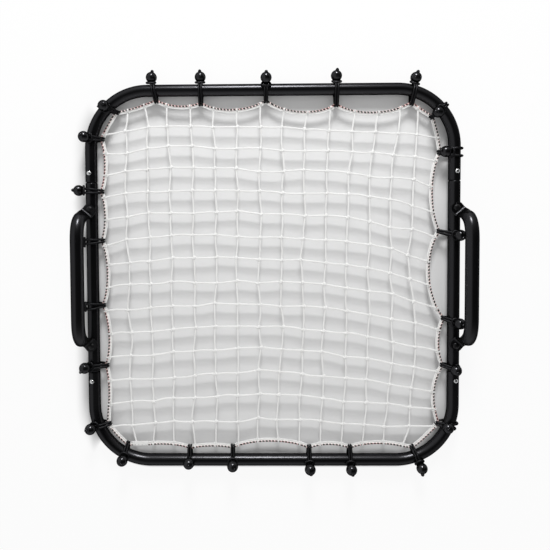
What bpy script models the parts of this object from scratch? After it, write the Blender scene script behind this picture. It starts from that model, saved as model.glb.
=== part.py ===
"""Goalkeeper rebounder: a knotted net laced into a tubular steel frame that is held by two handles.

The frame lies flat with its tubes' axes level, the net faces up, and the handles stand on the side
tubes. Two U bends plug onto two straight side tubes, and a sprung button locks each of the four
joints. Ball ties hold the net's border rope to the frame all the way round.
"""

from math import acos, cos, pi, radians, sin, tan

import bmesh
import bpy
import numpy as np
from mathutils import Matrix, Vector

# Frame of round tube, measured over the outside of the tubes
FRAME_WIDTH = 0.820
FRAME_HEIGHT = 0.843
TUBE_D = 0.026
TUBE_WALL = 0.0015
CORNER_R = 0.125
CORNER_STEPS = 8
TUBE_RINGS = 6

# Where the bends plug onto the side tubes
SEAM_Y = 0.210
SWAGE_LENGTH = 0.050
SWAGE_CONE = 0.003

# Gap between pieces that touch, and round what slides or plugs in
TOUCH = 0.0003
SLIDE = 0.0003

# Snap buttons, a little outside the top of the side tubes, each on a hairpin leaf spring
BUTTON_FROM_SEAM = 0.019
BUTTON_D = 0.0095
BUTTON_RISE = 0.0036
BUTTON_DOME = 0.0028
BUTTON_LEAN = radians(8)
BUTTON_FLANGE_D = 0.0120
BUTTON_FLANGE = 0.0010
LEAF_WIDTH = 0.0080
LEAF_THICK = 0.0006
LEAF_LENGTH = 0.026
LEAF_TAIL = 0.006
LEAF_BEND_STEPS = 6
HOLE_REACH = 0.006

# Handles: round tube whose crimped ends are folded in over the side tubes
HANDLE_D = 0.028
HANDLE_BOLT_Y = 0.150
HANDLE_OFFSET = 0.013
GRIP_RISE = 0.070
HANDLE_BEND = 0.074
FOOT_WIDTH = 0.037
FOOT_THICK = 0.005
FOOT_REACH = 0.0135
FOOT_CORNER = 0.003
FOLD_R = 0.006
FOLD_STEPS = 3
LEG_STEPS = 7
CRIMP_SHARE = 0.55

# Bolts and nuts
BOLT_D = 0.006
BOLT_HEAD_D = 0.014
BOLT_HEAD = 0.0038
NUT_FLATS = 0.010

# Border rope and net
ROPE_D = 0.006
TWINE_D = 0.003
MESHES = 15
NET_SETTLING = 600
NET_UNEVEN = 0.0022
NET_SEED = 4

# How the net bows towards the top of the frame: half waves down it, half waves across it, share
NET_BOW = 0.0293
NET_BOWS = (
    (1, 1, 1),
    (2, 3, 0.137),
    (2, 1, 0.116),
    (3, 1, 0.092),
    (1, 3, 0.089),
)

# Ball ties
CORD_D = 0.005
CORD_STRANDS = 2
BALL_D = 0.024
BALL_SIDES = 9
BALL_RINGS = 6
BALL_GAP = 0.0035
TIE_SLACK = 0.0005
TIE_HOLD = 0.007
LOOP_STEPS = 9
LOOP_END_STEPS = 3
END_STEPS = 8

# The rope: how far a tie holds it from the tube's axis, how much further the net draws it in
# between two ties, and the length over which it comes in
ROPE_HELD = 0.025
NET_DRAW = 0.010
ROPE_SPREAD = 0.024

# Each tie, clockwise from the middle of the top: where it crosses the tube as a share of the way
# round, how far its ball has turned from straight up towards the outside, how far it slants so that
# its rope end lies further clockwise, and two shares: of ROPE_HELD, and of NET_DRAW before the next tie
TIES = (
    ("top_4", 0.0465, radians(81), 0, 1.15, 1.5),
    ("top_5", 0.1023, radians(82), radians(7), 0.90, 0.7),
    ("corner_1", 0.1264, radians(-37), 0, 0.88, 0.4),
    ("right_1", 0.1601, radians(-58), 0, 1.12, 1.8),
    ("right_2", 0.2197, radians(9), radians(-12), 1.12, 1.6),
    ("right_3", 0.2830, radians(10), radians(-16), 0.72, 1.1),
    ("right_4", 0.3174, radians(-6), radians(-14), 0.77, 1.3),
    ("corner_2", 0.3600, radians(-20), radians(14), 0.77, 0.4),
    ("bottom_6", 0.3944, radians(54), radians(2), 0.72, 1.2),
    ("bottom_5", 0.4435, radians(26), 0, 0.96, 0.8),
    ("bottom_4", 0.4735, radians(24), 0, 0.96, 1.4),
    ("bottom_3", 0.5298, radians(7), 0, 1.00, 0.8),
    ("bottom_2", 0.5617, radians(-5), 0, 0.96, 1.3),
    ("bottom_1", 0.6105, radians(11), radians(12), 0.72, 0.4),
    ("corner_3", 0.6402, radians(25), radians(-14), 0.72, 1.3),
    ("left_5", 0.6849, radians(30), radians(1), 0.93, 1.2),
    ("left_4", 0.7292, radians(88), radians(3), 0.74, 1.3),
    ("left_3", 0.7766, radians(88), radians(3), 0.72, 1.1),
    ("left_2", 0.8134, radians(88), radians(-3), 0.72, 1.2),
    ("left_1", 0.8516, radians(21), radians(5), 0.74, 0.6),
    ("corner_4", 0.8767, radians(1), radians(21), 0.74, 1.3),
    ("top_1", 0.9145, radians(88), radians(11), 0.73, 1.0),
    ("top_2", 0.9483, radians(88), radians(1), 0.98, 1.6),
    ("top_3", 0.9957, radians(52), 0, 0.80, 1.6),
)

# Where the net's strands end on the rope: the side of the net, the shares of the way round of its
# first and last strand, clockwise, and how far the middle ones have slid on, as a share of the side
NET_SIDES = (
    ("top", 0.8895, 0.1111, 0),
    ("right", 0.1474, 0.3645, 0.042),
    ("bottom", 0.4033, 0.6045, 0),
    ("left", 0.6381, 0.8566, 0.016),
)
NET_CLEAR = 0.012
NET_BEYOND = 0.012

TUBE_R = TUBE_D / 2
HALF_W = FRAME_WIDTH / 2 - TUBE_R
HALF_H = FRAME_HEIGHT / 2 - TUBE_R
RUN_X = HALF_W - CORNER_R
RUN_Y = HALF_H - CORNER_R
QUARTER = RUN_X + RUN_Y + CORNER_R * pi / 2
PERIMETER = 4 * QUARTER

# The frame stands on its tie cords, whose undersides are pressed flat by a tenth of the cord
AXIS_Z = TUBE_R + TIE_SLACK + CORD_D * 0.9
FOOT_Z = AXIS_Z + TUBE_R + TOUCH + FOOT_THICK / 2
FOLD_TOP_Z = FOOT_Z + FOLD_R
GRIP_Z = AXIS_Z + GRIP_RISE

BORE_R = TUBE_R - TUBE_WALL
SWAGE_R = BORE_R - SLIDE
SWAGE_BORE_R = SWAGE_R - TUBE_WALL
FLANGE_TOP = (SWAGE_BORE_R**2 - (BUTTON_FLANGE_D / 2) ** 2) ** 0.5 - TOUCH

SMOOTH_ANGLE = radians(40)
WELD = 1e-5

BLACK_STEEL = ("black_tube", (0.012, 0.012, 0.013), 0.32, 0.0)
BLACK_BOLT = ("black_bolt", (0.014, 0.014, 0.015), 0.28, 0.6)
ZINC = ("zinc", (0.62, 0.63, 0.64), 0.25, 1.0)
SPRING_STEEL = ("spring_steel", (0.30, 0.31, 0.33), 0.35, 1.0)
ROPE_FIBRE = ("rope_fibre", (0.78, 0.70, 0.68), 0.85, 0.0)
NET_TWINE = ("net_twine", (0.80, 0.80, 0.78), 0.85, 0.0)
TIE_BLACK = ("tie_black", (0.015, 0.015, 0.017), 0.25, 0.0)


def clear_scene():
    """Takes away whatever the opened scene holds."""
    for old in list(bpy.data.objects):
        bpy.data.objects.remove(old, do_unlink=True)


def new_collection(name):
    """A collection of that name, linked to the scene."""
    made = bpy.data.collections.new(name)
    bpy.context.scene.collection.children.link(made)
    return made


def material(finish):
    """The Principled material of a finish, made once."""
    name, colour, roughness, metallic = finish
    made = bpy.data.materials.get(name)
    if made is None:
        made = bpy.data.materials.new(name)
        made.use_nodes = True
        shader = made.node_tree.nodes["Principled BSDF"]
        shader.inputs["Base Color"].default_value = (*colour, 1)
        shader.inputs["Roughness"].default_value = roughness
        shader.inputs["Metallic"].default_value = metallic
        made.diffuse_color = (*colour, 1)
    return made


def add_part(name, mesh, finish, place=Matrix()):
    """A sub-part of the rebounder, hung on the root empty."""
    part = bpy.data.objects.new(name, mesh)
    part.matrix_world = place
    part.parent = root
    mesh.materials.clear()
    mesh.materials.append(material(finish))
    parts.objects.link(part)
    return part


def add_cutter(name, mesh, place=Matrix()):
    """A shape that only cuts others, hidden from renders."""
    cutter = bpy.data.objects.new(name, mesh)
    cutter.matrix_world = place
    cutter.parent = root
    cutter.display_type = "WIRE"
    cutter.hide_render = True
    cutters.objects.link(cutter)
    return cutter


def shade_round(mesh):
    """Smooth shading that keeps the sharp edges."""
    mesh.shade_smooth()
    mesh.set_sharp_from_angle(angle=SMOOTH_ANGLE)


def boolean(part, operation, other):
    """Cuts, joins or trims a part with another object."""
    step = part.modifiers.new(f"{operation.lower()} {other.name}", "BOOLEAN")
    step.operation = operation
    step.object = other
    step.solver = "EXACT"


def evaluated_mesh(thing):
    """A new mesh of the object with its modifiers applied, its doubles welded."""
    bpy.context.view_layer.update()
    graph = bpy.context.evaluated_depsgraph_get()
    mesh = bpy.data.meshes.new_from_object(thing.evaluated_get(graph))
    work = bmesh.new()
    work.from_mesh(mesh)
    bmesh.ops.remove_doubles(work, verts=work.verts, dist=WELD)
    work.to_mesh(mesh)
    work.free()
    return mesh


def curve_mesh(name, points, depth=0.0, rings=0, closed=False, caps=True, extrude=0.0):
    """A tube along the points, or with an extrude the flat plate that they outline, as a mesh."""
    curve = bpy.data.curves.new(name, "CURVE")
    curve.dimensions = "2D" if extrude else "3D"
    curve.fill_mode = "BOTH" if extrude else "FULL"
    curve.extrude = extrude
    curve.bevel_depth = depth
    curve.bevel_resolution = rings
    curve.use_fill_caps = caps and not closed
    run = curve.splines.new("POLY")
    run.points.add(len(points) - 1)
    for knot, point in zip(run.points, points):
        knot.co = (*point, 1)
    run.use_cyclic_u = closed
    guide = bpy.data.objects.new(name, curve)
    cutters.objects.link(guide)
    mesh = evaluated_mesh(guide)
    mesh.name = name
    bpy.data.objects.remove(guide)
    bpy.data.curves.remove(curve)
    return mesh


def turned(name, outline, finish, place, steps=12):
    """A solid of revolution: the outline (radius, height) runs down its outer side, top to bottom."""
    mesh = bpy.data.meshes.new(name)
    points = [(radius, 0, height) for radius, height in outline]
    mesh.from_pydata(points, [(k, k + 1) for k in range(len(points) - 1)], [])
    part = add_part(name, mesh, finish, place)
    screw = part.modifiers.new("turn", "SCREW")
    screw.steps = steps
    screw.render_steps = steps
    screw.use_merge_vertices = True
    screw.merge_threshold = WELD
    screw.use_smooth_shade = True
    return part


def dome(radius, base, rise, steps=3):
    """Outline of a dome from its pole down to its rim, an upright half ellipse."""
    return [
        (radius * sin(k * pi / 2 / steps), base + rise * cos(k * pi / 2 / steps)) for k in range(steps + 1)
    ]


def cylinder_mesh(name, radius, low, high, middles=((0, 0),), sides=12):
    """Upright closed cylinders between two heights, one at each middle."""
    work = bmesh.new()
    for x, y in middles:
        bmesh.ops.create_cone(
            work,
            cap_ends=True,
            segments=sides,
            radius1=radius,
            radius2=radius,
            depth=high - low,
            matrix=Matrix.Translation((x, y, (low + high) / 2)),
        )
    mesh = bpy.data.meshes.new(name)
    work.to_mesh(mesh)
    work.free()
    return mesh


def frame_at(share):
    """Point of the frame's centreline and its outward direction, clockwise from the top's middle.

    A quarter of the way round is half a side, a rounded corner and half the next side.
    """
    quarter = int(share * 4 % 4)
    travel = (share * 4 % 1) * QUARTER
    turn = Matrix.Rotation(-quarter * pi / 2, 2)
    out, along = turn @ Vector((0, 1)), turn @ Vector((1, 0))
    run, next_run = (RUN_X, RUN_Y) if quarter % 2 == 0 else (RUN_Y, RUN_X)
    if travel <= run:
        return out * (next_run + CORNER_R) + along * travel, out
    angle = (travel - run) / CORNER_R
    if angle <= pi / 2:
        outward = out * cos(angle) + along * sin(angle)
        return out * next_run + along * run + outward * CORNER_R, outward
    left = QUARTER - travel
    return along * (run + CORNER_R) + out * left, along


def raised(point, height=AXIS_Z):
    """A plan point at a height."""
    return Vector((point[0], point[1], height))


def bend_points(end):
    """Centreline of a U bend from its left leg over the top, or for end -1 under the bottom."""
    corner = [k * pi / 2 / CORNER_STEPS for k in range(CORNER_STEPS + 1)]
    half = [(HALF_W, SEAM_Y)]
    half += [(RUN_X + CORNER_R * cos(turn), RUN_Y + CORNER_R * sin(turn)) for turn in corner]
    plan = [(-x, y) for x, y in half] + [(x, y) for x, y in reversed(half)]
    return [raised((x, y * end)) for x, y in plan]


def button_place(side, end):
    """Where a snap button sits: Z out through the tubes' walls, X along the tube to its middle."""
    out = Vector((side * sin(BUTTON_LEAN), 0, cos(BUTTON_LEAN)))
    inwards = Vector((0, -end, 0))
    turn = Matrix((inwards, out.cross(inwards), out)).transposed().to_4x4()
    middle = (side * HALF_W, end * (SEAM_Y + BUTTON_FROM_SEAM), AXIS_Z)
    return Matrix.Translation(middle) @ turn


def add_snap_button(label, side, end):
    """A sprung button, and the cutter of the hole that it stands in."""
    place = button_place(side, end)
    radius = BUTTON_D / 2
    rim = TUBE_R + BUTTON_RISE - BUTTON_DOME
    outline = dome(radius, rim, BUTTON_DOME)
    outline += [
        (radius, FLANGE_TOP),
        (BUTTON_FLANGE_D / 2, FLANGE_TOP),
        (BUTTON_FLANGE_D / 2, FLANGE_TOP - BUTTON_FLANGE),
        (0, FLANGE_TOP - BUTTON_FLANGE),
    ]
    turned(f"snap_button_{label}", outline, ZINC, place)
    hole = cylinder_mesh("button hole", radius + SLIDE, TUBE_R - HOLE_REACH, TUBE_R + HOLE_REACH)
    return add_cutter(f"button hole {label}", hole, place)


def add_button_spring(label, side, end):
    """Hairpin leaf: one arm behind the button, the other against the far wall of the bore."""
    near = FLANGE_TOP - BUTTON_FLANGE - TOUCH - LEAF_THICK / 2
    far = TOUCH + LEAF_THICK / 2 - (SWAGE_BORE_R**2 - (LEAF_WIDTH / 2) ** 2) ** 0.5
    middle, radius = (near + far) / 2, (near - far) / 2
    bend = [pi / 2 - k * pi / LEAF_BEND_STEPS for k in range(LEAF_BEND_STEPS + 1)]
    path = [(-LEAF_TAIL, near)]
    path += [(LEAF_LENGTH + radius * cos(turn), middle + radius * sin(turn)) for turn in bend]
    path += [(-LEAF_TAIL, far)]
    count = len(path)
    edge = LEAF_WIDTH / 2
    points = [(x, edge, z) for x, z in path] + [(x, -edge, z) for x, z in path]
    strip = [(k, k + 1, k + 1 + count, k + count) for k in range(count - 1)]
    mesh = bpy.data.meshes.new("leaf")
    mesh.from_pydata(points, [], strip)
    leaf = add_part(f"button_spring_{label}", mesh, SPRING_STEEL, button_place(side, end))
    wall = leaf.modifiers.new("thickness", "SOLIDIFY")
    wall.thickness = LEAF_THICK
    wall.offset = 0


def add_bend(name, end, holes):
    """A U bend: a bent tube with a bore, and a button hole in each leg."""
    mesh = curve_mesh(name, bend_points(end), depth=TUBE_R, rings=TUBE_RINGS, caps=False)
    shade_round(mesh)
    bend = add_part(name, mesh, BLACK_STEEL)
    wall = bend.modifiers.new("wall", "SOLIDIFY")
    wall.thickness = TUBE_WALL
    wall.offset = -1
    for hole in holes:
        boolean(bend, "DIFFERENCE", hole)


def add_side_tube(name, side, holes):
    """A straight tube whose two ends narrow to plug into the bends."""
    seam = SEAM_Y - TOUCH
    half = [(SWAGE_R, SEAM_Y + SWAGE_LENGTH), (SWAGE_R, seam), (TUBE_R, seam - SWAGE_CONE)]
    outline = half + [(radius, -height) for radius, height in reversed(half)]
    place = Matrix.Translation((side * HALF_W, 0, AXIS_Z)) @ Matrix.Rotation(-pi / 2, 4, "X")
    tube = turned(name, outline, BLACK_STEEL, place, steps=4 + 2 * TUBE_RINGS)
    wall = tube.modifiers.new("wall", "SOLIDIFY")
    wall.thickness = TUBE_WALL
    wall.offset = -1
    for hole in holes:
        boolean(tube, "DIFFERENCE", hole)


def section(crimp):
    """Ring of the handle's tube, width across and thickness: flat for crimp 1, round for crimp 0."""
    edge = FOOT_THICK / 2
    flat = FOOT_WIDTH / 2 - edge
    plate = [
        (FOOT_WIDTH / 2, 0),
        (flat + edge * cos(pi / 4), edge * sin(pi / 4)),
        (flat, edge),
        (flat / 2, edge),
        (0, edge),
    ]
    plate += [(-across, through) for across, through in reversed(plate[:4])]
    plate += [(across, -through) for across, through in reversed(plate[1:8])]
    ring = []
    for k, (across, through) in enumerate(plate):
        turn = 2 * pi * k / len(plate)
        round_across, round_through = HANDLE_D / 2 * cos(turn), HANDLE_D / 2 * sin(turn)
        ring.append(
            (
                across * crimp + round_across * (1 - crimp),
                through * crimp + round_through * (1 - crimp),
            )
        )
    return ring


def handle_stations(side):
    """Middle, across and through directions and crimp of each ring, from the foot up to the grip.

    The foot runs out over the side tube, folds up a quarter turn, and the leg follows a quarter of
    an ellipse into the grip while its section opens from flat to round.
    """
    outer = HALF_W + HANDLE_OFFSET
    fold_x = outer - FOLD_R
    along_y = Vector((0, 1, 0))
    stations = []
    for reach, narrow in ((HALF_W - FOOT_REACH, FOOT_CORNER), (HALF_W - FOOT_REACH + FOOT_CORNER, 0)):
        middle = Vector((side * reach, HANDLE_BOLT_Y, FOOT_Z))
        stations.append((middle, along_y * (1 - 2 * narrow / FOOT_WIDTH), Vector((0, 0, 1)), 1))
    for k in range(FOLD_STEPS + 1):
        turn = k * pi / 2 / FOLD_STEPS
        reach = fold_x + FOLD_R * sin(turn)
        middle = Vector((side * reach, HANDLE_BOLT_Y, FOLD_TOP_Z - FOLD_R * cos(turn)))
        through = Vector((-side * sin(turn), 0, cos(turn)))
        stations.append((middle, along_y, through, 1))
    rise = GRIP_Z - FOLD_TOP_Z
    for k in range(1, LEG_STEPS + 1):
        turn = k * pi / 2 / LEG_STEPS
        middle = Vector(
            (side * outer, HANDLE_BOLT_Y - HANDLE_BEND * (1 - cos(turn)), FOLD_TOP_Z + rise * sin(turn))
        )
        run = Vector((0, -HANDLE_BEND * sin(turn), rise * cos(turn))).normalized()
        across = Vector((0, run.z, -run.y))
        opened = min(1, k / (LEG_STEPS * CRIMP_SHARE))
        stations.append((middle, across, Vector((-side, 0, 0)), 1 - opened * opened * (3 - 2 * opened)))
    middle = Vector((side * outer, 0, GRIP_Z))
    stations.append((middle, Vector((0, 0, 1)), Vector((-side, 0, 0)), 0))
    return stations


def add_handle(name, side, bolt_holes):
    """A handle: half of it is lofted from the foot to the grip's middle, and the rest mirrored."""
    stations = handle_stations(side)
    work = bmesh.new()
    rings = []
    for middle, across, through, crimp in stations:
        ring = [work.verts.new(middle + across * a + through * t) for a, t in section(crimp)]
        rings.append(ring)
    work.faces.new(rings[0])
    for lower, upper in zip(rings, rings[1:]):
        for k in range(len(lower)):
            after = (k + 1) % len(lower)
            work.faces.new((lower[k], lower[after], upper[after], upper[k]))
    bmesh.ops.recalc_face_normals(work, faces=work.faces)
    mesh = bpy.data.meshes.new(name)
    work.to_mesh(mesh)
    work.free()
    shade_round(mesh)
    handle = add_part(name, mesh, BLACK_STEEL)
    mirror = handle.modifiers.new("other half", "MIRROR")
    mirror.use_axis = (False, True, False)
    mirror.merge_threshold = 0.0001
    boolean(handle, "DIFFERENCE", bolt_holes)


def add_bolts(side_name, side):
    """The two bolts of a handle with their nuts, and the cutter of every hole that they pass."""
    radius = BOLT_D / 2
    head = FOOT_Z + FOOT_THICK / 2 + TOUCH
    middles = [(side * HALF_W, end * HANDLE_BOLT_Y) for end in (1, -1)]
    shaft = cylinder_mesh("bolt holes", radius + SLIDE, -CORD_D, head + TOUCH, middles)
    holes = add_cutter(f"bolt holes {side_name}", shaft)
    nut_top = AXIS_Z - TUBE_R - TOUCH
    for end_name, (x, y) in zip(("top", "bottom"), middles):
        label = f"{end_name}_{side_name}"
        outline = dome(BOLT_HEAD_D / 2, head, BOLT_HEAD) + [(radius, head), (radius, TOUCH), (0, TOUCH)]
        turned(f"handle_bolt_{label}", outline, BLACK_BOLT, Matrix.Translation((x, y, 0)))
        hexagon = cylinder_mesh("nut", NUT_FLATS / 2 / cos(pi / 6), 0, nut_top, ((x, y),), sides=6)
        nut = add_part(f"bolt_nut_{label}", hexagon, BLACK_BOLT)
        boolean(nut, "DIFFERENCE", holes)
    return holes


def rope_end(share, slant, held):
    """Share of the way round and inset of a slanted tie's rope end.

    It steps along the frame until it stands square to the end, which takes a few steps in a corner.
    """
    point, outward = frame_at(share)
    along = Vector((outward.y, -outward.x))
    end = point + (along * tan(slant) - outward) * held
    for _ in range(END_STEPS):
        share += (end - point).dot(along) / PERIMETER
        point, outward = frame_at(share)
        along = Vector((outward.y, -outward.x))
    return share % 1, (point - end).dot(outward)


def rope_ties():
    """Where the ties hold the rope, in order round the frame: share, inset and further draw."""
    return sorted(
        (*rope_end(share, slant, held * ROPE_HELD), drawn * NET_DRAW)
        for _, share, _, slant, held, drawn in TIES
    )


def rope_inset(share):
    """How far inside the tube's axis the rope lies at a share of the way round.

    A tie holds the rope straight for a little way. Between two ties the net draws it in, to a
    stretch that runs level with the tube.
    """
    ends = rope_ties()
    k = max((k for k, end in enumerate(ends) if end[0] <= share % 1), default=-1)
    start, held, drawn = ends[k]
    stop, next_held, _ = ends[(k + 1) % len(ends)]
    gap = (stop - start) % 1 * PERIMETER
    travel = (share - start) % 1 * PERIMETER
    settled = min(1, max(0, (travel - TIE_HOLD) / (gap - 2 * TIE_HOLD)))
    pull = min(1, max(0, min(travel - TIE_HOLD, gap - TIE_HOLD - travel) / ROPE_SPREAD))
    return held + (next_held - held) * settled + drawn * pull


def rope_point(share):
    """The rope's place in plan at a share of the way round."""
    point, outward = frame_at(share)
    return point - outward * rope_inset(share)


def rope_ring():
    """The rope's course in plan, one closed ring of points with six for each stretch between ties."""
    ends = [end[0] for end in rope_ties()]
    ring = []
    for k, start in enumerate(ends):
        gap = (ends[(k + 1) % len(ends)] - start) % 1 * PERIMETER
        near, drawn = TIE_HOLD, TIE_HOLD + ROPE_SPREAD
        for travel in (0, near, drawn, gap / 2, gap - drawn, gap - near):
            ring.append(rope_point(start + travel / PERIMETER))
    return ring


def inset_ring(ring, distance):
    """The rope's course moved inwards by a distance, square to its own run."""
    moved = []
    for k, point in enumerate(ring):
        run = ring[(k + 1) % len(ring)] - ring[k - 1]
        moved.append(point + Vector((run.y, -run.x)).normalized() * distance)
    return moved


def strand_ends(start, stop, slid):
    """Where the strands of one side of the net end on the rope, in order and clear of the ties."""
    clear = NET_CLEAR / PERIMETER
    ends = []
    for strand in range(MESHES - 1):
        part = strand / (MESHES - 2)
        share = start + (stop - start) % 1 * (part + slid * sin(pi * part))
        for tie, _, _ in rope_ties():
            apart = (share - tie + 0.5) % 1 - 0.5
            if abs(apart) < clear:
                share = tie + (clear if apart >= 0 else -clear)
        ends.append(rope_point(share))
    return ends


def net_points():
    """Plan points of the net, rows from the top and columns from the left, as a numpy array.

    The outer lines are the strand ends on the rope. Every crossing settles midway between its four
    neighbours, as in a net under even pull, then the net bows in a few half waves and sits unevenly.
    """
    ends = {side: strand_ends(*reach) for side, *reach in NET_SIDES}
    last = MESHES
    net = np.zeros((MESHES + 1, MESHES + 1, 2))
    net[0, 1:last] = ends["top"]
    net[1:last, last] = ends["right"]
    net[last, 1:last] = ends["bottom"][::-1]
    net[1:last, 0] = ends["left"][::-1]
    for _ in range(NET_SETTLING):
        inner = net[:-2, 1:-1] + net[2:, 1:-1] + net[1:-1, :-2] + net[1:-1, 2:]
        net[1:-1, 1:-1] = inner / 4
    part = np.linspace(0, pi, MESHES + 1)[1:-1]
    for down, across, bowed in NET_BOWS:
        wave = np.outer(np.sin(down * part), np.sin(across * part))
        net[1:-1, 1:-1, 1] += NET_BOW * bowed * wave
    rng = np.random.default_rng(NET_SEED)
    net[1:-1, 1:-1] += rng.normal(0, NET_UNEVEN, (MESHES - 1, MESHES - 1, 2))
    return net


def add_net(ring):
    """The net: a grid of twine whose ends are trimmed along the inside of the rope."""
    net = net_points()
    for turned_net in (net, net.transpose(1, 0, 2)):
        for line, near in ((0, 1), (-1, -2)):
            run = turned_net[line, 1:-1] - turned_net[near, 1:-1]
            turned_net[line, 1:-1] += run / np.linalg.norm(run, axis=1)[:, None] * NET_BEYOND
    for row, row_in in ((0, 1), (-1, -2)):
        for column, column_in in ((0, 1), (-1, -2)):
            net[row, column] = net[row_in, column] + net[row, column_in] - net[row_in, column_in]
    work = bmesh.new()
    bmesh.ops.create_grid(work, x_segments=MESHES, y_segments=MESHES, size=1)
    for vert in work.verts:
        column = round((vert.co.x + 1) / 2 * MESHES)
        row = round((1 - vert.co.y) / 2 * MESHES)
        vert.co = raised(net[row, column])
    mesh = bpy.data.meshes.new("net")
    work.to_mesh(mesh)
    work.free()
    part = add_part("net", mesh, NET_TWINE)
    wire = part.modifiers.new("twine", "WIREFRAME")
    wire.thickness = TWINE_D
    wire.use_even_offset = True
    wire.use_boundary = True
    outline = [raised(point, 0) for point in inset_ring(ring, ROPE_D / 2 + TOUCH)]
    plate = curve_mesh("inside of the rope", outline, closed=True, extrude=TWINE_D * 2)
    trim = add_cutter("inside of the rope", plate, Matrix.Translation((0, 0, AXIS_Z)))
    boolean(part, "INTERSECT", trim)


def tie_loop(reach):
    """Closed course of a tie's cord round the tube and the rope: two arcs and the straights between.

    X points from the tube's axis to the rope, reach away, Y up and Z along the tube.
    """
    wide = TUBE_R + TIE_SLACK + CORD_D / 2
    tight = ROPE_D / 2 + TIE_SLACK + CORD_D / 2
    meet = acos((wide - tight) / reach)
    course = []
    for middle, radius, start, stop, steps in (
        (0, wide, meet, 2 * pi - meet, LOOP_STEPS),
        (reach, tight, -meet, meet, LOOP_END_STEPS),
    ):
        step = (stop - start) / steps
        corner = radius / cos(step / 2)
        for k in range(steps + 1):
            turn = start + step * k
            course.append((middle + corner * cos(turn), corner * sin(turn), 0))
    return course


def add_tie(name, share, ball_turn, slant, reach):
    """A ball tie: an elastic cord doubled round tube and rope, and the ball that both ends enter.

    The whole tie is sheared along the tube by its slant, so that it keeps its gap to the tube.
    """
    loop = curve_mesh(name, tie_loop(reach), depth=CORD_D / 2, rings=1, closed=True)
    loop.transform(Matrix.Diagonal((1, 1, CORD_STRANDS, 1)))
    ball_r = BALL_D / 2
    away = TUBE_R + BALL_GAP + ball_r
    work = bmesh.new()
    ball_place = Matrix.Translation((-away * sin(ball_turn), away * cos(ball_turn), 0))
    bmesh.ops.create_uvsphere(
        work, u_segments=BALL_SIDES, v_segments=BALL_RINGS, radius=ball_r, matrix=ball_place
    )
    ball = bpy.data.meshes.new("ball")
    work.to_mesh(ball)
    work.free()
    cord_guide = add_cutter("cord guide", loop)
    ball_guide = add_cutter("ball guide", ball)
    boolean(cord_guide, "UNION", ball_guide)
    mesh = evaluated_mesh(cord_guide)
    bpy.data.objects.remove(cord_guide)
    bpy.data.objects.remove(ball_guide)
    for vert in mesh.vertices:
        vert.co.y = max(vert.co.y, -AXIS_Z)
        vert.co.z -= tan(slant) * vert.co.x
    shade_round(mesh)
    middle, outward = frame_at(share)
    inwards, up = -raised(outward, 0), Vector((0, 0, 1))
    turn = Matrix((inwards, up, inwards.cross(up))).transposed().to_4x4()
    add_part(f"tie_{name}", mesh, TIE_BLACK, Matrix.Translation(raised(middle)) @ turn)


def add_rope(ring):
    """The border rope, one closed ring that every tie holds."""
    points = [raised(point) for point in ring]
    mesh = curve_mesh("border_rope", points, depth=ROPE_D / 2, rings=1, closed=True)
    shade_round(mesh)
    add_part("border_rope", mesh, ROPE_FIBRE)


def stand_on_origin():
    """Moves the whole rebounder so that the origin is under the middle of its bounding box."""
    bpy.context.view_layer.update()
    graph = bpy.context.evaluated_depsgraph_get()
    corners = []
    for part in parts.objects:
        ready = part.evaluated_get(graph)
        mesh = ready.to_mesh()
        corners += [part.matrix_world @ vert.co for vert in mesh.vertices]
        ready.to_mesh_clear()
    spans = [(min(c[k] for c in corners), max(c[k] for c in corners)) for k in range(3)]
    root.location = (-sum(spans[0]) / 2, -sum(spans[1]) / 2, -spans[2][0])
    bpy.context.view_layer.update()
    sizes = [round((high - low) * 1000, 2) for low, high in spans]
    print("rebounder box in mm", sizes, "moved by", [round(v * 1000, 3) for v in root.location])


def build():
    """Makes every sub-part."""
    button_holes = {}
    bolt_holes = {}
    for side_name, side in (("left", -1), ("right", 1)):
        for end_name, end in (("top", 1), ("bottom", -1)):
            label = f"{end_name}_{side_name}"
            button_holes[side, end] = add_snap_button(label, side, end)
            add_button_spring(label, side, end)
        bolt_holes[side] = add_bolts(side_name, side)
    add_bend("frame_top_bend", 1, [button_holes[side, 1] for side in (-1, 1)])
    add_bend("frame_bottom_bend", -1, [button_holes[side, -1] for side in (-1, 1)])
    for side_name, side in (("left", -1), ("right", 1)):
        holes = [button_holes[side, end] for end in (1, -1)] + [bolt_holes[side]]
        add_side_tube(f"{side_name}_side_tube", side, holes)
        add_handle(f"{side_name}_handle", side, bolt_holes[side])
    ring = rope_ring()
    add_rope(ring)
    add_net(ring)
    for name, share, ball_turn, slant, held, _ in TIES:
        add_tie(name, share, ball_turn, slant, held * ROPE_HELD)
    stand_on_origin()


clear_scene()
parts = new_collection("goalkeeper_rebounder")
cutters = new_collection("cutters")
root = bpy.data.objects.new("rebounder", None)
bpy.context.scene.collection.objects.link(root)
build()
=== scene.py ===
"""Looks of the goalkeeper rebounder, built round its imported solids.

Lengths are metres. Shapes are worked out round the middle of the steel frame, with Y towards its
top bend, and are moved to the solids' place when they become meshes.
"""

from math import acos, cos, pi, radians, sin, sqrt, tan

import bpy
import numpy as np
from mathutils import Euler, Matrix, Vector


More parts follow.
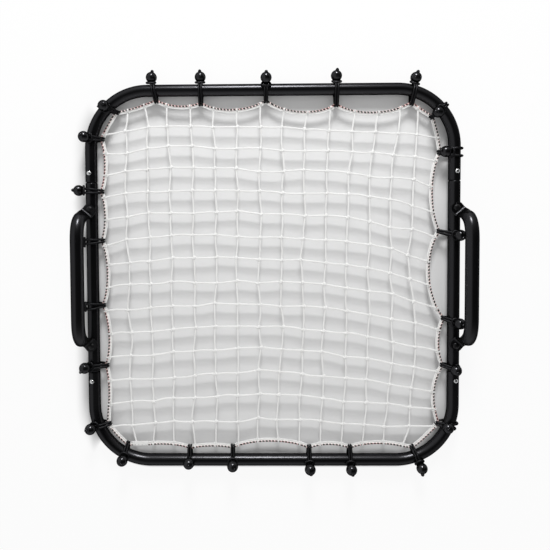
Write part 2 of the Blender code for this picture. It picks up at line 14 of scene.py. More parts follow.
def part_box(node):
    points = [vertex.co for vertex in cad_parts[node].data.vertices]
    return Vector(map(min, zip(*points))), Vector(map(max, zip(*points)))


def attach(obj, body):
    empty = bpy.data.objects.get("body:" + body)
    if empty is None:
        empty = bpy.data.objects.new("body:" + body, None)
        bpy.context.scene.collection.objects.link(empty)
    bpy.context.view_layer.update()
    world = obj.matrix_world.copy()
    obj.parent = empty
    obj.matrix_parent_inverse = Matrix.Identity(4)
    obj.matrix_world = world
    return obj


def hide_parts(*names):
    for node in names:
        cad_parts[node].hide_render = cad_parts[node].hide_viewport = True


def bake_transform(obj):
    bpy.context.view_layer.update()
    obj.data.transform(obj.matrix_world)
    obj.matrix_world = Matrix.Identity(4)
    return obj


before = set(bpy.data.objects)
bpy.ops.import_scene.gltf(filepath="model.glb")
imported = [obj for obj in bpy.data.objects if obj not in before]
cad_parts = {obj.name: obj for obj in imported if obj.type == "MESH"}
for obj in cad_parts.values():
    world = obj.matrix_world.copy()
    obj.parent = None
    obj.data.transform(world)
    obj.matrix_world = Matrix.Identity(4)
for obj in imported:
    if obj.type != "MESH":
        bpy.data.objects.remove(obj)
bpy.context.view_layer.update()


def node_box(*nodes):
    """Lowest and highest corner of some solids together."""
    lows, highs = zip(*(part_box(node) for node in nodes))
    return np.min(lows, 0), np.max(highs, 0)


# The steel frame, as the solids have it
TUBE_LOW, TUBE_HIGH = node_box("left_side_tube")
SIDES_LOW, SIDES_HIGH = node_box("left_side_tube", "right_side_tube")
BENDS_LOW, BENDS_HIGH = node_box("frame_top_bend", "frame_bottom_bend")
MIDDLE = (SIDES_LOW + SIDES_HIGH) / 2 * (1, 1, 0)
TUBE_R = (TUBE_HIGH[0] - TUBE_LOW[0]) / 2
AXIS_Z = (TUBE_LOW[2] + TUBE_HIGH[2]) / 2
HALF_W = (SIDES_HIGH[0] - SIDES_LOW[0]) / 2 - TUBE_R
HALF_H = (BENDS_HIGH[1] - BENDS_LOW[1]) / 2 - TUBE_R
SEAM_Y = node_box("frame_top_bend")[0][1] - MIDDLE[1]
TUBE_END_Y = TUBE_HIGH[1] - MIDDLE[1]
CORNER_R = 0.125
TUBE_WALL = 0.0015
SWAGE_CONE = 0.003
TOUCH = 0.0003

RUN_X, RUN_Y = HALF_W - CORNER_R, HALF_H - CORNER_R
QUARTER = RUN_X + RUN_Y + CORNER_R * pi / 2
PERIMETER = 4 * QUARTER
BORE_R = TUBE_R - TUBE_WALL
SWAGE_R = BORE_R - TOUCH

# A tube's rim, and its round edge: shares of the rim from the tube's end, and what is cut off there
RIM = 0.0004
RIM_CURVE = ((0, 1), (0.3, 0.35), (1, 0))

# Snap buttons and their leaf springs
BUTTON_LOW, BUTTON_HIGH = node_box("snap_button_top_right")
BUTTON_Y = (BUTTON_LOW[1] + BUTTON_HIGH[1]) / 2 - MIDDLE[1]
BUTTON_LEAN = radians(8)
BUTTON_R = 0.00475
BUTTON_RISE = 0.0036
BUTTON_DOME = 0.0028
BUTTON_FLANGE_R = 0.0060
BUTTON_FLANGE = 0.0010
FLANGE_EDGE = 0.0002
FLANGE_TOP = sqrt((SWAGE_R - TUBE_WALL) ** 2 - BUTTON_FLANGE_R**2) - TOUCH
LEAF_WIDTH = 0.0080
LEAF_THICK = 0.0006
LEAF_EDGE = 0.0001
LEAF_LENGTH = 0.026
LEAF_TAIL = 0.006

# Handles, their bolts and nuts
HANDLE_LOW, HANDLE_HIGH = node_box("right_handle")
BOLT_LOW, BOLT_HIGH = node_box("handle_bolt_top_right")
NUT_LOW, NUT_HIGH = node_box("bolt_nut_top_right")
BOLT_Y = (BOLT_LOW[1] + BOLT_HIGH[1]) / 2 - MIDDLE[1]
BOLT_HEAD_R = (BOLT_HIGH[0] - BOLT_LOW[0]) / 2
BOLT_HEAD = 0.0038
BOLT_R = 0.003
BOLT_EDGE = 0.0005
NUT_CHAMFER = radians(30)
NUT_RINGS = (0, 0.00015, 0.0003, 0.0006, 0.001)
HANDLE_R = 0.014
HANDLE_X = HANDLE_HIGH[0] - MIDDLE[0] - HANDLE_R
GRIP_Z = HANDLE_HIGH[2] - HANDLE_R
HANDLE_BEND = 0.070
FOOT_THICK = 0.005
FOOT_Z = HANDLE_LOW[2] + FOOT_THICK / 2
FOOT_WIDTH = 0.029
FOOT_CORNER = 0.010
FOOT_REACH = 0.0095
FOOT_SEAT = 0.0060
FOOT_TURN = radians(50)
FOLD_R = 0.009
FOLD_TURN = radians(80)
LEG_SETS_OUT = 0.095
LEG_COMES_IN = 0.125
CRIMP_SHARE = 0.42

# How far the pegs that cut the holes reach to both sides of what they go through
BUTTON_PEG = 0.006
BOLT_PEG = TUBE_R + 0.003
FOOT_PEG = 0.004

# Border rope: the depth between its yarns, how far inside the tube's axis a tie holds it, how much
# further the net draws it in half way to the next tie, and the power that rounds that sag
ROPE_R = 0.003
BRAID_DEPTH = 0.00045
ROPE_HELD = 0.027
NET_DRAW = 0.010
SAG_POWER = 0.75
END_STEPS = 8

# Net: its twine, its edge line, the thin twine of its hitches and winding, the hitches' slope, the
# winding's step in radii of its twine, how clear of the ties the strands end, the rounds in which the
# net settles, and how uneven its crossings and spans are
MESHES = 15
TWINE_R = 0.0019
EDGE_R = 0.0013
THREAD_R = 0.0009
HITCH_SLOPE = 0.219
WINDING_STEP = 2.1
NET_CLEAR = 0.012
NET_SETTLING = 600
NET_SEED = 4
NET_UNEVEN = 0.0022
NET_UNEVEN_Z = 0.0006
STRAND_BOW = 0.0009

# Knots: their sizes, how unevenly they are turned, and how flat, drawn out and waisted they are
KNOT_SIZES = (0.0039, 0.0047)
KNOT_UNEVEN_TURN = 0.35
KNOT_FLAT = 0.85
KNOT_DRAWN = 0.28
KNOT_WAIST = 0.12

# Ties: the cord and half the way between its two turns, the ball and its gap to the tube, the collar's
# turn back from the ball, half length, half width and lift, the ball's seam, and the knot on top of
# it with its height, the depth of its lobes and how far it leans
CORD_R = 0.0025
STRAND_APART = 0.0026
TIE_SLACK = 0.0005
BALL_R = 0.012
BALL_GAP = 0.0035
COLLAR_BACK = 0.30
COLLAR_DEEP = 0.0062
COLLAR_WIDE = 0.0092
COLLAR_PROUD = 0.0016
COLLAR_WAVE = 0.0006
BALL_SEAM = 0.00012
BALL_SEAM_TURN = 0.02
NUB_R = 0.0036
NUB_TALL = 1.3
NUB_LOBES = 0.22
NUB_LEAN = 0.22

# How the net bows towards the top of the frame: half waves down it, half waves across it, share
NET_BOW = 0.0293
NET_BOWS = (
    (1, 1, 1),
    (2, 3, 0.137),
    (2, 1, 0.116),
    (3, 1, 0.092),
    (1, 3, 0.089),
)

# The ties, clockwise from the middle of the top. Each row says where the tie crosses the tube, as a
# share of the way round, how many degrees its ball has turned from straight up towards the outside,
# by how many degrees it slants so that its rope end lies further clockwise, its shares of ROPE_HELD
# and, up to the next tie, of NET_DRAW, and how much its two cords spread towards the tube
TIES = (
    ("top_4", 0.0465, 81, 0, 1.15, 2.4, 0),
    ("top_5", 0.1023, 82, 7, 0.90, 0.6, 0),
    ("corner_1", 0.1264, -37, 0, 0.88, 0.7, 0),
    ("right_1", 0.1601, -58, 0, 1.12, 1.9, 0.0055),
    ("right_2", 0.2197, 9, -12, 1.12, 3.0, 0.001),
    ("right_3", 0.2830, 10, -16, 0.72, 1.3, 0.0012),
    ("right_4", 0.3174, -6, -14, 0.77, 2.2, 0),
    ("corner_2", 0.3600, -20, 14, 0.77, 0.7, 0.0035),
    ("bottom_6", 0.3944, 54, 2, 0.72, 1.45, 0),
    ("bottom_5", 0.4435, 26, 0, 0.96, 0.95, 0),
    ("bottom_4", 0.4735, 24, 0, 0.96, 1.65, 0),
    ("bottom_3", 0.5298, 7, 0, 1.00, 0.55, 0),
    ("bottom_2", 0.5617, -5, 0, 0.96, 1.35, 0.0008),
    ("bottom_1", 0.6105, 11, 12, 0.72, 0.35, 0),
    ("corner_3", 0.6402, 25, -14, 0.72, 1.1, 0.001),
    ("left_5", 0.6849, 30, 1, 0.93, 1.25, 0.001),
    ("left_4", 0.7292, 88, 3, 0.74, 1.35, 0.0035),
    ("left_3", 0.7766, 88, 3, 0.72, 1.0, 0.0018),
    ("left_2", 0.8134, 88, -3, 0.72, 1.1, 0.0018),
    ("left_1", 0.8516, 21, 5, 0.74, 0.5, 0.0018),
    ("corner_4", 0.8767, 1, 21, 0.74, 1.45, 0.0018),
    ("top_1", 0.9145, 88, 11, 0.73, 1.2, 0),
    ("top_2", 0.9483, 88, 1, 0.98, 1.95, 0),
    ("top_3", 0.9957, 52, 0, 0.80, 2.3, 0),
)

# Where the net's strands end on the rope: the side of the net, the shares of the way round of its
# first and last strand, clockwise, and how far the middle ones have slid on, as a share of the side
NET_SIDES = (
    ("top", 0.8895, 0.1111, 0),
    ("right", 0.1474, 0.3645, 0.042),
    ("bottom", 0.4033, 0.6045, 0),
    ("left", 0.6381, 0.8566, 0.016),
)

# Where net twine is wound round the rope, as shares of the way round
WOUND = (0.5935, 0.6085)

# How finely the pieces are made: sides, rings and steps, the lengths between rings, and the angle
# from which an edge stays sharp
TUBE_SIDES = 48
TUBE_START = 0.012
TUBE_RINGS = 9
CONE_RINGS = 6
CONE_CLEAR = 0.004
CORNER_RINGS = 28
CORNER_CLEAR = 0.002
HANDLE_SIDES = 64
FOOT_RINGS = 8
LEG_RINGS = 40
GRIP_RINGS = 4
LEAF_RINGS = 16
TURNED_SIDES = 48
BUTTON_STEPS = 16
BOLT_STEPS = 14
BOLT_EDGE_STEPS = 4
CORD_SIDES = 14
CORD_STEPS = (56, 18)
ROPE_STEP = 0.001
ROPE_SMOOTHING = 3
ROPE_SIDES = 24
TWINE_SIDES = 6
THREAD_STEPS = (12, 7)
EDGE_SIDES = 12
KNOT_SIDES = 9
KNOT_RINGS = 5
COLLAR_STEPS = 40
BALL_SIDES = 36
BALL_RINGS = 13
BALL_POLE = 0.06
SEAM_RINGS = (-0.05, -0.03, -0.015)
NUB_SIDES = 18
NUB_RINGS = 10
SPAN_RINGS = 8
SHARP = radians(38)

# Rings past the seam, where the button holes are cut: a step, and the steps that have one
HOLE_STEP = 0.003
BEND_STEPS = np.arange(1, 14)
PLUG_STEPS = np.arange(3, 10)


def unit(vectors):
    """Vectors of length one."""
    return vectors / np.linalg.norm(vectors, axis=-1, keepdims=True)


def full_turn(sides):
    """Evenly spaced turns, once round."""
    return np.arange(sides) * 2 * pi / sides


def circle_at(turn):
    """Points of the unit circle at some turns, counter-clockwise from the right."""
    return np.stack([np.cos(turn), np.sin(turn)], -1)


def circle(sides, radius=1.0):
    """Evenly spaced points round a circle."""
    return circle_at(full_turn(sides)) * radius


def rightwards(plan):
    """Plan directions turned a quarter to the right."""
    return np.stack([plan[:, 1], -plan[:, 0]], -1)


def rings(radius, height, turn):
    """Rings round Z: radius * (cos, sin) of the turn, each at its height."""
    ring = circle_at(turn) * radius[..., None]
    return np.concatenate([ring, np.broadcast_to(height[:, None, None], (*ring.shape[:2], 1))], -1)


def travelled(path, looped=False):
    """Length along a path up to each of its points, and once more to its start when it is looped."""
    stops = np.concatenate([path, path[:1]]) if looped else path
    steps = np.linalg.norm(np.diff(stops, axis=0), axis=1)
    return np.concatenate([[0], np.cumsum(steps)])


def swept(path, section, up, looped=False):
    """A section carried along a path: path + section x * sideways + section y * upwards.

    Sideways is square to the path and to the up direction, and the section may differ at each point.
    """
    ahead = np.roll(path, -1, 0) - np.roll(path, 1, 0)
    if not looped:
        ahead[0], ahead[-1] = path[1] - path[0], path[-1] - path[-2]
    ahead = unit(ahead)
    sideways = unit(np.cross(ahead, up))
    upwards = np.cross(sideways, ahead)
    section = np.broadcast_to(section, (len(path), *section.shape[-2:]))
    return path[:, None] + section[..., :1] * sideways[:, None] + section[..., 1:] * upwards[:, None]


def revolved(outline, sides=TURNED_SIDES):
    """An outline of (radius, height) turned round Z."""
    radius, height = np.array(outline, float).T
    return rings(radius[:, None], height, full_turn(sides))


def arc(radius_out, radius_up, middle, start, stop, steps):
    """Outline points on an ellipse: middle + (radius_out * cos, radius_up * sin) of the turn."""
    turn = np.linspace(start, stop, steps + 1)
    return list(middle + circle_at(turn) * (radius_out, radius_up))


def moved(grid, matrix):
    """A grid of points carried by a matrix."""
    turn = np.array(matrix.to_3x3())
    return grid @ turn.T + np.array(matrix.translation)


def linked(name, data):
    """A new object in the scene."""
    made = bpy.data.objects.new(name, data)
    bpy.context.scene.collection.objects.link(made)
    return made


class Skin:
    """Gathers closed surfaces, each a grid of rings, into one mesh with a UV map.

    The map's u is the share of the way round a ring, and its v the metres along the rings.
    """

    def __init__(self, grid=None, looped=False):
        self.points, self.corners, self.sizes, self.map = [], [], [], []
        self.count = 0
        if grid is not None:
            self.add(grid, looped)

    def add(self, grid, looped=False):
        """Adds a surface of closed rings. Its ends meet, or are filled round their middles."""
        rows, sides, _ = grid.shape
        along = travelled(grid.mean(1), looped)
        row, side = np.arange(rows if looped else rows - 1)[:, None], np.arange(sides)
        beside = (side + 1) % sides
        here, there = row * sides, (row + 1) % rows * sides
        quads = np.stack([here + side, here + beside, there + beside, there + side], -1).reshape(-1, 4)
        turns = np.stack([side, side + 1, side + 1, side], -1) / sides
        turns = np.broadcast_to(turns, (len(row), sides, 4))
        metres = np.stack([along[row], along[row], along[row + 1], along[row + 1]], -1)
        maps = np.stack([turns, np.broadcast_to(metres, turns.shape)], -1).reshape(-1, 2)
        points, fans, fan_maps = grid.reshape(-1, 3), np.zeros((0, 3), int), []
        if not looped:
            near, far, last = rows * sides, rows * sides + 1, (rows - 1) * sides
            points = np.concatenate([points, [grid[0].mean(0), grid[-1].mean(0)]])
            start_fan = np.stack([np.full(sides, near), beside, side], -1)
            end_fan = np.stack([np.full(sides, far), last + side, last + beside], -1)
            fans = np.concatenate([start_fan, end_fan])
            share = np.repeat(side / sides, 3)
            fan_maps = [np.stack([share, np.full(3 * sides, end)], -1) for end in (along[0], along[-1])]
        if self.turned_in(points, quads, fans):
            quads, fans = quads[:, ::-1], fans[:, ::-1]
            maps = maps.reshape(-1, 4, 2)[:, ::-1].reshape(-1, 2)
        self.points.append(points)
        self.corners += [quads.ravel() + self.count, fans.ravel() + self.count]
        self.sizes += [np.full(len(quads), 4), np.full(len(fans), 3)]
        self.map += [maps, *fan_maps]
        self.count += len(points)

    @staticmethod
    def turned_in(points, quads, fans):
        """Whether the faces point inwards: then the volume summed from a point inside is negative."""
        centred = points - points.mean(0)
        tris = np.concatenate([quads[:, :3], quads[:, [0, 2, 3]], fans])
        a, b, c = (centred[tris[:, k]] for k in range(3))
        return (a * np.cross(b, c)).sum() < 0

    def piece(self, node, form, finish, slot, replaces=True, body="frame"):
        """Makes the mesh at the solids' place, dresses it and hangs it on its body, if one is named.

        The piece is named for a solid and for its form, and may replace the solid.
        """
        mesh = bpy.data.meshes.new(f"{node}_{form}")
        corners = np.concatenate(self.corners).astype(np.int32)
        sizes = np.concatenate(self.sizes)
        mesh.vertices.add(self.count)
        mesh.vertices.foreach_set("co", (np.concatenate(self.points) + MIDDLE).ravel())
        mesh.loops.add(len(corners))
        mesh.loops.foreach_set("vertex_index", corners)
        mesh.polygons.add(len(sizes))
        mesh.polygons.foreach_set("loop_start", (np.cumsum(sizes) - sizes).astype(np.int32))
        mesh.update(calc_edges=True)
        layer = mesh.uv_layers.new(name="round_and_along")
        layer.data.foreach_set("uv", np.concatenate(self.map).ravel())
        mesh.materials.append(finish)
        shade(mesh)
        made = linked(mesh.name, mesh)
        if body:
            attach(made, body)
        if replaces:
            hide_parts(node)
        return made


def shade(mesh):
    """Smooth shading with the sharp edges kept."""
    mesh.shade_smooth()
    mesh.set_sharp_from_angle(angle=SHARP)


def reckoned(operation):
    """A Signal's operator that adds a Math node."""
    return lambda self, *others: self.nodes.math(operation, self, *others)


class Signal:
    """A shader socket that Python's operators can reckon with."""

    def __init__(self, nodes, socket):
        self.nodes, self.socket = nodes, socket

    def __rsub__(self, other):
        return self.nodes.math("SUBTRACT", other, self)

    __add__ = __radd__ = reckoned("ADD")
    __sub__ = reckoned("SUBTRACT")
    __mul__ = __rmul__ = reckoned("MULTIPLY")
    __truediv__ = reckoned("DIVIDE")
    __pow__ = reckoned("POWER")
    __mod__ = reckoned("FLOORED_MODULO")
    __abs__ = reckoned("ABSOLUTE")


class Reckoner:
    """A node tree whose nodes are made by one method, and reckoned with as signals."""

    def __init__(self, tree):
        self.tree = tree

    def feed(self, socket, value):
        """Links a signal to a socket, or sets the socket's own value."""
        if isinstance(value, Signal):
            self.tree.links.new(value.socket, socket)
        else:
            socket.default_value = value

    def node(self, kind, settings=None, values=None, output=0):
        """A node of a kind, its settings set first, then its sockets' values or links."""
        made = self.tree.nodes.new(kind)
        for setting, value in (settings or {}).items():
            setattr(made, setting, value)
        for socket, value in (values or {}).items():
            self.feed(made.inputs[socket], value)
        return Signal(self, made.outputs[output])

    def math(self, operation, *values):
        """A Math node on signals and numbers."""
        return self.node("ShaderNodeMath", {"operation": operation}, dict(enumerate(values)))

    def wave(self, turns):
        """The size of a sine, from 0 to 1 and back each half turn."""
        return abs(self.math("SINE", turns * pi))

    def step(self, value, low, high):
        """A smooth step from 0 at low to 1 at high."""
        sockets = {"Value": value, "From Min": low, "From Max": high}
        return self.node("ShaderNodeMapRange", {"interpolation_type": "SMOOTHSTEP"}, sockets)

    def parts(self, vector):
        """The three numbers of a vector."""
        return [self.node("ShaderNodeSeparateXYZ", {}, {0: vector}, output=k) for k in range(3)]

    def sight(self):
        """Three masks: rays of the eye, those of reflections and of glass, and both together."""
        rays = ("Camera", "Glossy", "Transmission")
        masks = [self.node("ShaderNodeLightPath", output=f"Is {ray} Ray") for ray in rays]
        mirrored = self.math("MAXIMUM", masks[1], masks[2])
        return masks[0], mirrored, self.math("MAXIMUM", masks[0], mirrored)


class Finish(Reckoner):
    """A material, with its constants set on the shader's own sockets."""

    def __init__(self, name, **constants):
        self.material = bpy.data.materials.new(name)
        self.material.use_nodes = True
        super().__init__(self.material.node_tree)
        self.shader = self.tree.nodes["Principled BSDF"]
        self.output = self.tree.nodes["Material Output"]
        for socket, value in constants.items():
            self.set(socket.replace("_", " "), value)

    def set(self, socket, value):
        """Feeds the shader."""
        self.feed(self.shader.inputs[socket], value)

    def mix(self, share, first, second):
        """A colour between two, by a share."""
        sockets = {0: share, 6: first, 7: second}
        return self.node("ShaderNodeMix", {"data_type": "RGBA"}, sockets, output=2)

    def place(self):
        """The point of the surface, in metres."""
        return self.node("ShaderNodeTexCoord", output="Object")

    def round_and_along(self):
        """The share of the way round the piece and the metres along it."""
        return self.parts(self.node("ShaderNodeUVMap", {"uv_map": "round_and_along"}))[:2]

    def braid(self, across, along):
        """Yarns that wind both ways: the greater of the waves of across + along and across - along."""
        return self.math("MAXIMUM", self.wave(across + along), self.wave(across - along))

    def noise(self, scale, detail, vector=None):
        """Noise from 0 to 1, with about as many waves a metre as its scale."""
        sockets = {"Vector": vector or self.place(), "Scale": scale, "Detail": detail}
        return self.node("ShaderNodeTexNoise", {}, sockets)

    def streaks(self, scales, detail):
        """Noise with its own number of waves a metre along each axis."""
        vector = self.node("ShaderNodeMapping", {}, {"Vector": self.place(), "Scale": scales})
        return self.noise(1.0, detail, vector)

    def dressed(self, base, roughness, height, distance):
        """The material, with all that changes over it. Height goes from 0 to 1 times a distance."""
        sockets = {"Height": height, "Distance": distance, "Strength": 1.0}
        self.set("Base Color", base)
        self.set("Roughness", roughness)
        self.set("Normal", self.node("ShaderNodeBump", {}, sockets))
        return self.material


def colour(red, green, blue):
    """A colour with its alpha."""
    return (red, green, blue, 1.0)


# How much of a black surface reflects as dark metal
BLACK_METAL = 0.94


def black_finish(name):
    """A black that reflects mostly as dark metal with a black edge tint, so that edges stay black."""
    return Finish(name, Metallic=BLACK_METAL, Specular_Tint=colour(0, 0, 0))


def powder_coat():
    """Satin black powder coat: fine orange peel, faint scuffs where things rub along the tubes."""
    finish = black_finish("powder_coat")
    peel = finish.noise(620, 1.0)
    cloud = finish.noise(9, 3.0)
    scratch = finish.streaks((900, 60, 400), 2.0)
    scuff = finish.step(scratch, 0.70, 0.78) * finish.step(cloud, 0.50, 0.62)
    coat = finish.mix(cloud, colour(0.030, 0.030, 0.032), colour(0.040, 0.040, 0.043))
    scuffed = finish.mix(scuff * 0.35, coat, colour(0.10, 0.10, 0.104))
    return finish.dressed(scuffed, 0.20 + 0.08 * cloud + 0.22 * scuff, peel, 0.00005)


def black_bolt():
    """Black plated steel with fine turning marks and a little wear."""
    finish = Finish("black_bolt", Metallic=0.65)
    grain = finish.noise(1500, 2.0)
    wear = finish.step(finish.noise(240, 3.0), 0.56, 0.72)
    plate = finish.mix(wear * 0.6, colour(0.012, 0.012, 0.013), colour(0.06, 0.06, 0.063))
    return finish.dressed(plate, 0.22 + 0.16 * grain, grain, 0.00001)


def zinc():
    """Bright zinc plate, faintly clouded and bluish."""
    finish = Finish("zinc", Metallic=1.0)
    cloud = finish.noise(420, 3.0)
    grain = finish.noise(2600, 1.0)
    plate = finish.mix(cloud, colour(0.60, 0.62, 0.65), colour(0.78, 0.78, 0.76))
    return finish.dressed(plate, 0.16 + 0.16 * cloud, grain, 0.000006)


def spring_steel():
    """Rolled spring steel with its rolling lines along the leaf and a straw tint."""
    finish = Finish("spring_steel", Metallic=1.0)
    lines = finish.streaks((4200, 60, 4200), 2.0)
    tint = finish.mix(finish.noise(90, 2.0), colour(0.27, 0.29, 0.32), colour(0.36, 0.33, 0.28))
    return finish.dressed(tint, 0.24 + 0.20 * lines, lines, 0.000008)


# The rope's braid: yarns each way, the length along the rope that one takes for its own width, and
# the fine yarns that each is drawn with
BRAID_YARNS = 4
BRAID_LAY = 0.0047
BRAID_FINE = 4

# Its flecks: the share of the way round the rope where they sit, the length from one to the next,
# how many of these lengths they slant in one turn, and where the white is blushed beside them
FLECKS_AT = 0.31
FLECK_PITCH = 0.0072
FLECK_SLANT = 0.8
BLUSH_AT = 0.34

# The length in which the twine's plies wind once round it
TWINE_LAY = 0.0085

# The cords' sleeve: crossings of its yarns round the cord, and along each metre of it
SLEEVE_AROUND = 8
SLEEVE_ALONG = 900


def rope_braid():
    """White braid with fine yarns, and a run of dark red and black flecks on its tube side."""
    finish = Finish("rope_braid", Metallic=0.0, Sheen_Weight=0.25)
    around, along = finish.round_and_along()
    yarn = finish.braid(around * (BRAID_YARNS * BRAID_FINE), along * (BRAID_FINE / BRAID_LAY))
    drift = finish.noise(11, 2.0)
    frayed = finish.noise(900, 2.0) * 0.10 + yarn * 0.05
    flecked_side = 1 - finish.step(abs(around - FLECKS_AT) + frayed, 0.21, 0.25)
    flecks = along / FLECK_PITCH + around * FLECK_SLANT
    dark = flecked_side * (1 - finish.step(abs(flecks % 1 - 0.5) + frayed, 0.37, 0.45))
    blush = 1 - finish.step(abs(around - BLUSH_AT), 0.08, 0.20)
    blushed = (0.25 + 0.4 * finish.step(drift, 0.40, 0.62)) * blush
    # The white is darker between the yarns, where the braid is low: painted shade in its grooves.
    white = finish.mix(yarn, colour(0.74, 0.71, 0.69), colour(0.92, 0.90, 0.88))
    pink = finish.mix(blushed, white, colour(0.90, 0.46, 0.42))
    red = finish.step(drift, 0.52, 0.66)
    ink = finish.mix(red, colour(0.004, 0.003, 0.003), colour(0.06, 0.003, 0.005))
    return finish.dressed(finish.mix(dark, pink, ink), 0.72 + 0.16 * yarn, yarn, 0.00022)


def net_twine():
    """White three-ply twine: its plies wind round it, a little soiled in places."""
    finish = Finish("net_twine", Metallic=0.0, Sheen_Weight=0.2)
    around, along = finish.round_and_along()
    ply = finish.wave(around * 3 + along * (3 / TWINE_LAY))
    fuzz = finish.noise(1400, 2.0)
    soil = finish.step(finish.noise(16, 3.0), 0.50, 0.75)
    # The twine is darker between its plies, where it is low: painted shade in the grooves.
    clean = finish.mix(ply, colour(0.78, 0.78, 0.77), colour(0.90, 0.90, 0.89))
    soiled = finish.mix(soil * 0.35, clean, colour(0.74, 0.73, 0.71))
    return finish.dressed(soiled, 0.68 + 0.2 * fuzz, ply * 0.8 + fuzz * 0.2, 0.0003)


def elastic_cord():
    """Black elastic cord in a fine braided sleeve."""
    finish = black_finish("elastic_cord")
    around, along = finish.round_and_along()
    yarn = finish.braid(around * SLEEVE_AROUND, along * SLEEVE_ALONG)
    worn = finish.noise(140, 3.0)
    # The sleeve is darker between its yarns, where it is low: painted shade in the grooves.
    sleeve = finish.mix(yarn, colour(0.008, 0.008, 0.009), colour(0.030, 0.030, 0.032))
    return finish.dressed(sleeve, 0.28 + 0.22 * worn, yarn, 0.00015)


def ball_plastic():
    """Glossy black moulded plastic with handling marks."""
    finish = black_finish("ball_plastic")
    marks = finish.streaks((300, 420, 900), 3.0)
    cloud = finish.noise(120, 2.0)
    plastic = finish.mix(cloud, colour(0.034, 0.034, 0.036), colour(0.046, 0.046, 0.049))
    return finish.dressed(plastic, 0.12 + 0.14 * finish.step(marks, 0.45, 0.75), cloud, 0.00004)


# The floor: half its width, the share of pure white that it shows to the eye outside the steel frame,
# how far out that starts on the side away from the light, how softly it sets in, and how much more
# softly on the left
FLOOR_REACH = 40.0
FLOOR_WHITE = 0.90
SHADOW_BELOW = 0.009
WHITE_SETS_IN = 0.004
SHADOW_LEFT = 0.035


def floor_paper():
    """Pale floor: white round the rebounder, and a light grey inside the steel frame.

    The distance to the frame's centreline is that of a rectangle with rounded corners:
    length(max(q, 0)) + min(max(qx, qy), 0) - corner radius, with q = |p - middle| - straight runs.
    """
    finish = Finish("floor_paper", Metallic=0.0, Roughness=0.9, Specular_IOR_Level=0.0)
    x, y, _ = finish.parts(finish.place())
    x, y = x - MIDDLE[0], y - MIDDLE[1]
    out_x, out_y = abs(x) - RUN_X, abs(y + SHADOW_BELOW / 2) - SHADOW_BELOW / 2 - RUN_Y
    over_x, over_y = finish.math("MAXIMUM", out_x, 0), finish.math("MAXIMUM", out_y, 0)
    below = finish.math("MINIMUM", finish.math("MAXIMUM", out_x, out_y), 0)
    apart = (over_x * over_x + over_y * over_y) ** 0.5 + below - CORNER_R - TUBE_R
    left = finish.step(0 - x, HALF_W - TUBE_R, HALF_W + TUBE_R)
    sets_in = WHITE_SETS_IN + SHADOW_LEFT * left
    outside = finish.step(apart / sets_in, 0.0, 1.0)
    paper = finish.noise(30, 3.0)
    pale = finish.mix(paper, colour(0.80, 0.80, 0.80), colour(0.83, 0.83, 0.83))
    grey = finish.mix(paper, colour(0.73, 0.73, 0.73), colour(0.76, 0.76, 0.76))
    finish.set("Base Color", finish.mix(outside, grey, pale))
    white = finish.node("ShaderNodeEmission", {}, {"Color": colour(1, 1, 1), "Strength": 1.0})
    share = FLOOR_WHITE * outside * finish.sight()[2]
    lit = Signal(finish, finish.shader.outputs["BSDF"])
    both = finish.node("ShaderNodeMixShader", {}, {0: share, 1: lit, 2: white})
    finish.feed(finish.output.inputs["Surface"], both)
    return finish.material


def applied(piece, *cutters):
    """Cuts closed shapes out of a piece, and takes the cutters away."""
    for cutter in cutters:
        step = piece.modifiers.new(cutter.name, "BOOLEAN")
        step.operation = "DIFFERENCE"
        step.object = cutter
        step.solver = "EXACT"
    bpy.context.view_layer.update()
    graph = bpy.context.evaluated_depsgraph_get()
    mesh = bpy.data.meshes.new_from_object(piece.evaluated_get(graph))
    mesh.name = piece.data.name
    piece.modifiers.clear()
    piece.data = mesh
    shade(mesh)
    for cutter in cutters:
        bpy.data.objects.remove(cutter)


def peg(radius, reach, matrix, height=0):
    """A round peg along a matrix's Z, as far below a height as above it, to cut a hole with."""
    outline = [(radius + TOUCH, height - reach), (radius + TOUCH, height + reach)]
    skin = Skin(moved(revolved(outline), matrix))
    faces = np.split(np.concatenate(skin.corners), np.cumsum(np.concatenate(skin.sizes))[:-1])
    mesh = bpy.data.meshes.new("peg")
    mesh.from_pydata(np.concatenate(skin.points) + MIDDLE, [], [face.tolist() for face in faces])
    return linked("peg", mesh)


def button_matrix(side, end):
    """Where a snap button sits: Z out through the tubes' walls, X along the tube to its middle."""
    out = Vector((side * sin(BUTTON_LEAN), 0, cos(BUTTON_LEAN)))
    inwards = Vector((0, -end, 0))
    turn = Matrix((inwards, out.cross(inwards), out)).transposed().to_4x4()
    return Matrix.Translation((side * HALF_W, end * BUTTON_Y, AXIS_Z)) @ turn


def walled(path, radii_out, radii_in):
    """A tube with a wall: its outer skin along the path, and back along its bore, as one closed loop."""
    rounds = (circle(TUBE_SIDES) * radii[:, None, None] for radii in (radii_out, radii_in))
    outer, inner = (swept(path, section, (0, 0, 1)) for section in rounds)
    return np.concatenate([outer, inner[::-1]])


def add_bend(name, end, coat):
    """A U bend: two straight legs, two quarter circles and the run between, with rounded rims."""
    rim, cut = np.array(RIM_CURVE).T * RIM
    leg = np.concatenate([SEAM_Y + rim, SEAM_Y + HOLE_STEP * BEND_STEPS, [RUN_Y - CORNER_CLEAR]])
    corner = (RUN_X, RUN_Y) + circle_at(np.linspace(0, pi / 2, CORNER_RINGS + 1)) * CORNER_R
    straight = np.stack([np.full(len(leg), HALF_W), leg], -1)
    half = np.concatenate([straight, corner, [[RUN_X / 2, HALF_H]]])
    path = raised(np.concatenate([half * (-1, 1), half[::-1]]) * (1, end))
    radii, bores = np.full(len(path), TUBE_R), np.full(len(path), BORE_R)
    for stops, trim in ((slice(len(cut)), cut), (slice(-len(cut), None), cut[::-1])):
        radii[stops] -= trim
        bores[stops] += trim / 2
    bend = Skin(walled(path, radii, bores), looped=True).piece(name, "steel", coat, "black_tube")
    applied(bend, *(peg(BUTTON_R, BUTTON_PEG, button_matrix(side, end), TUBE_R) for side in (-1, 1)))


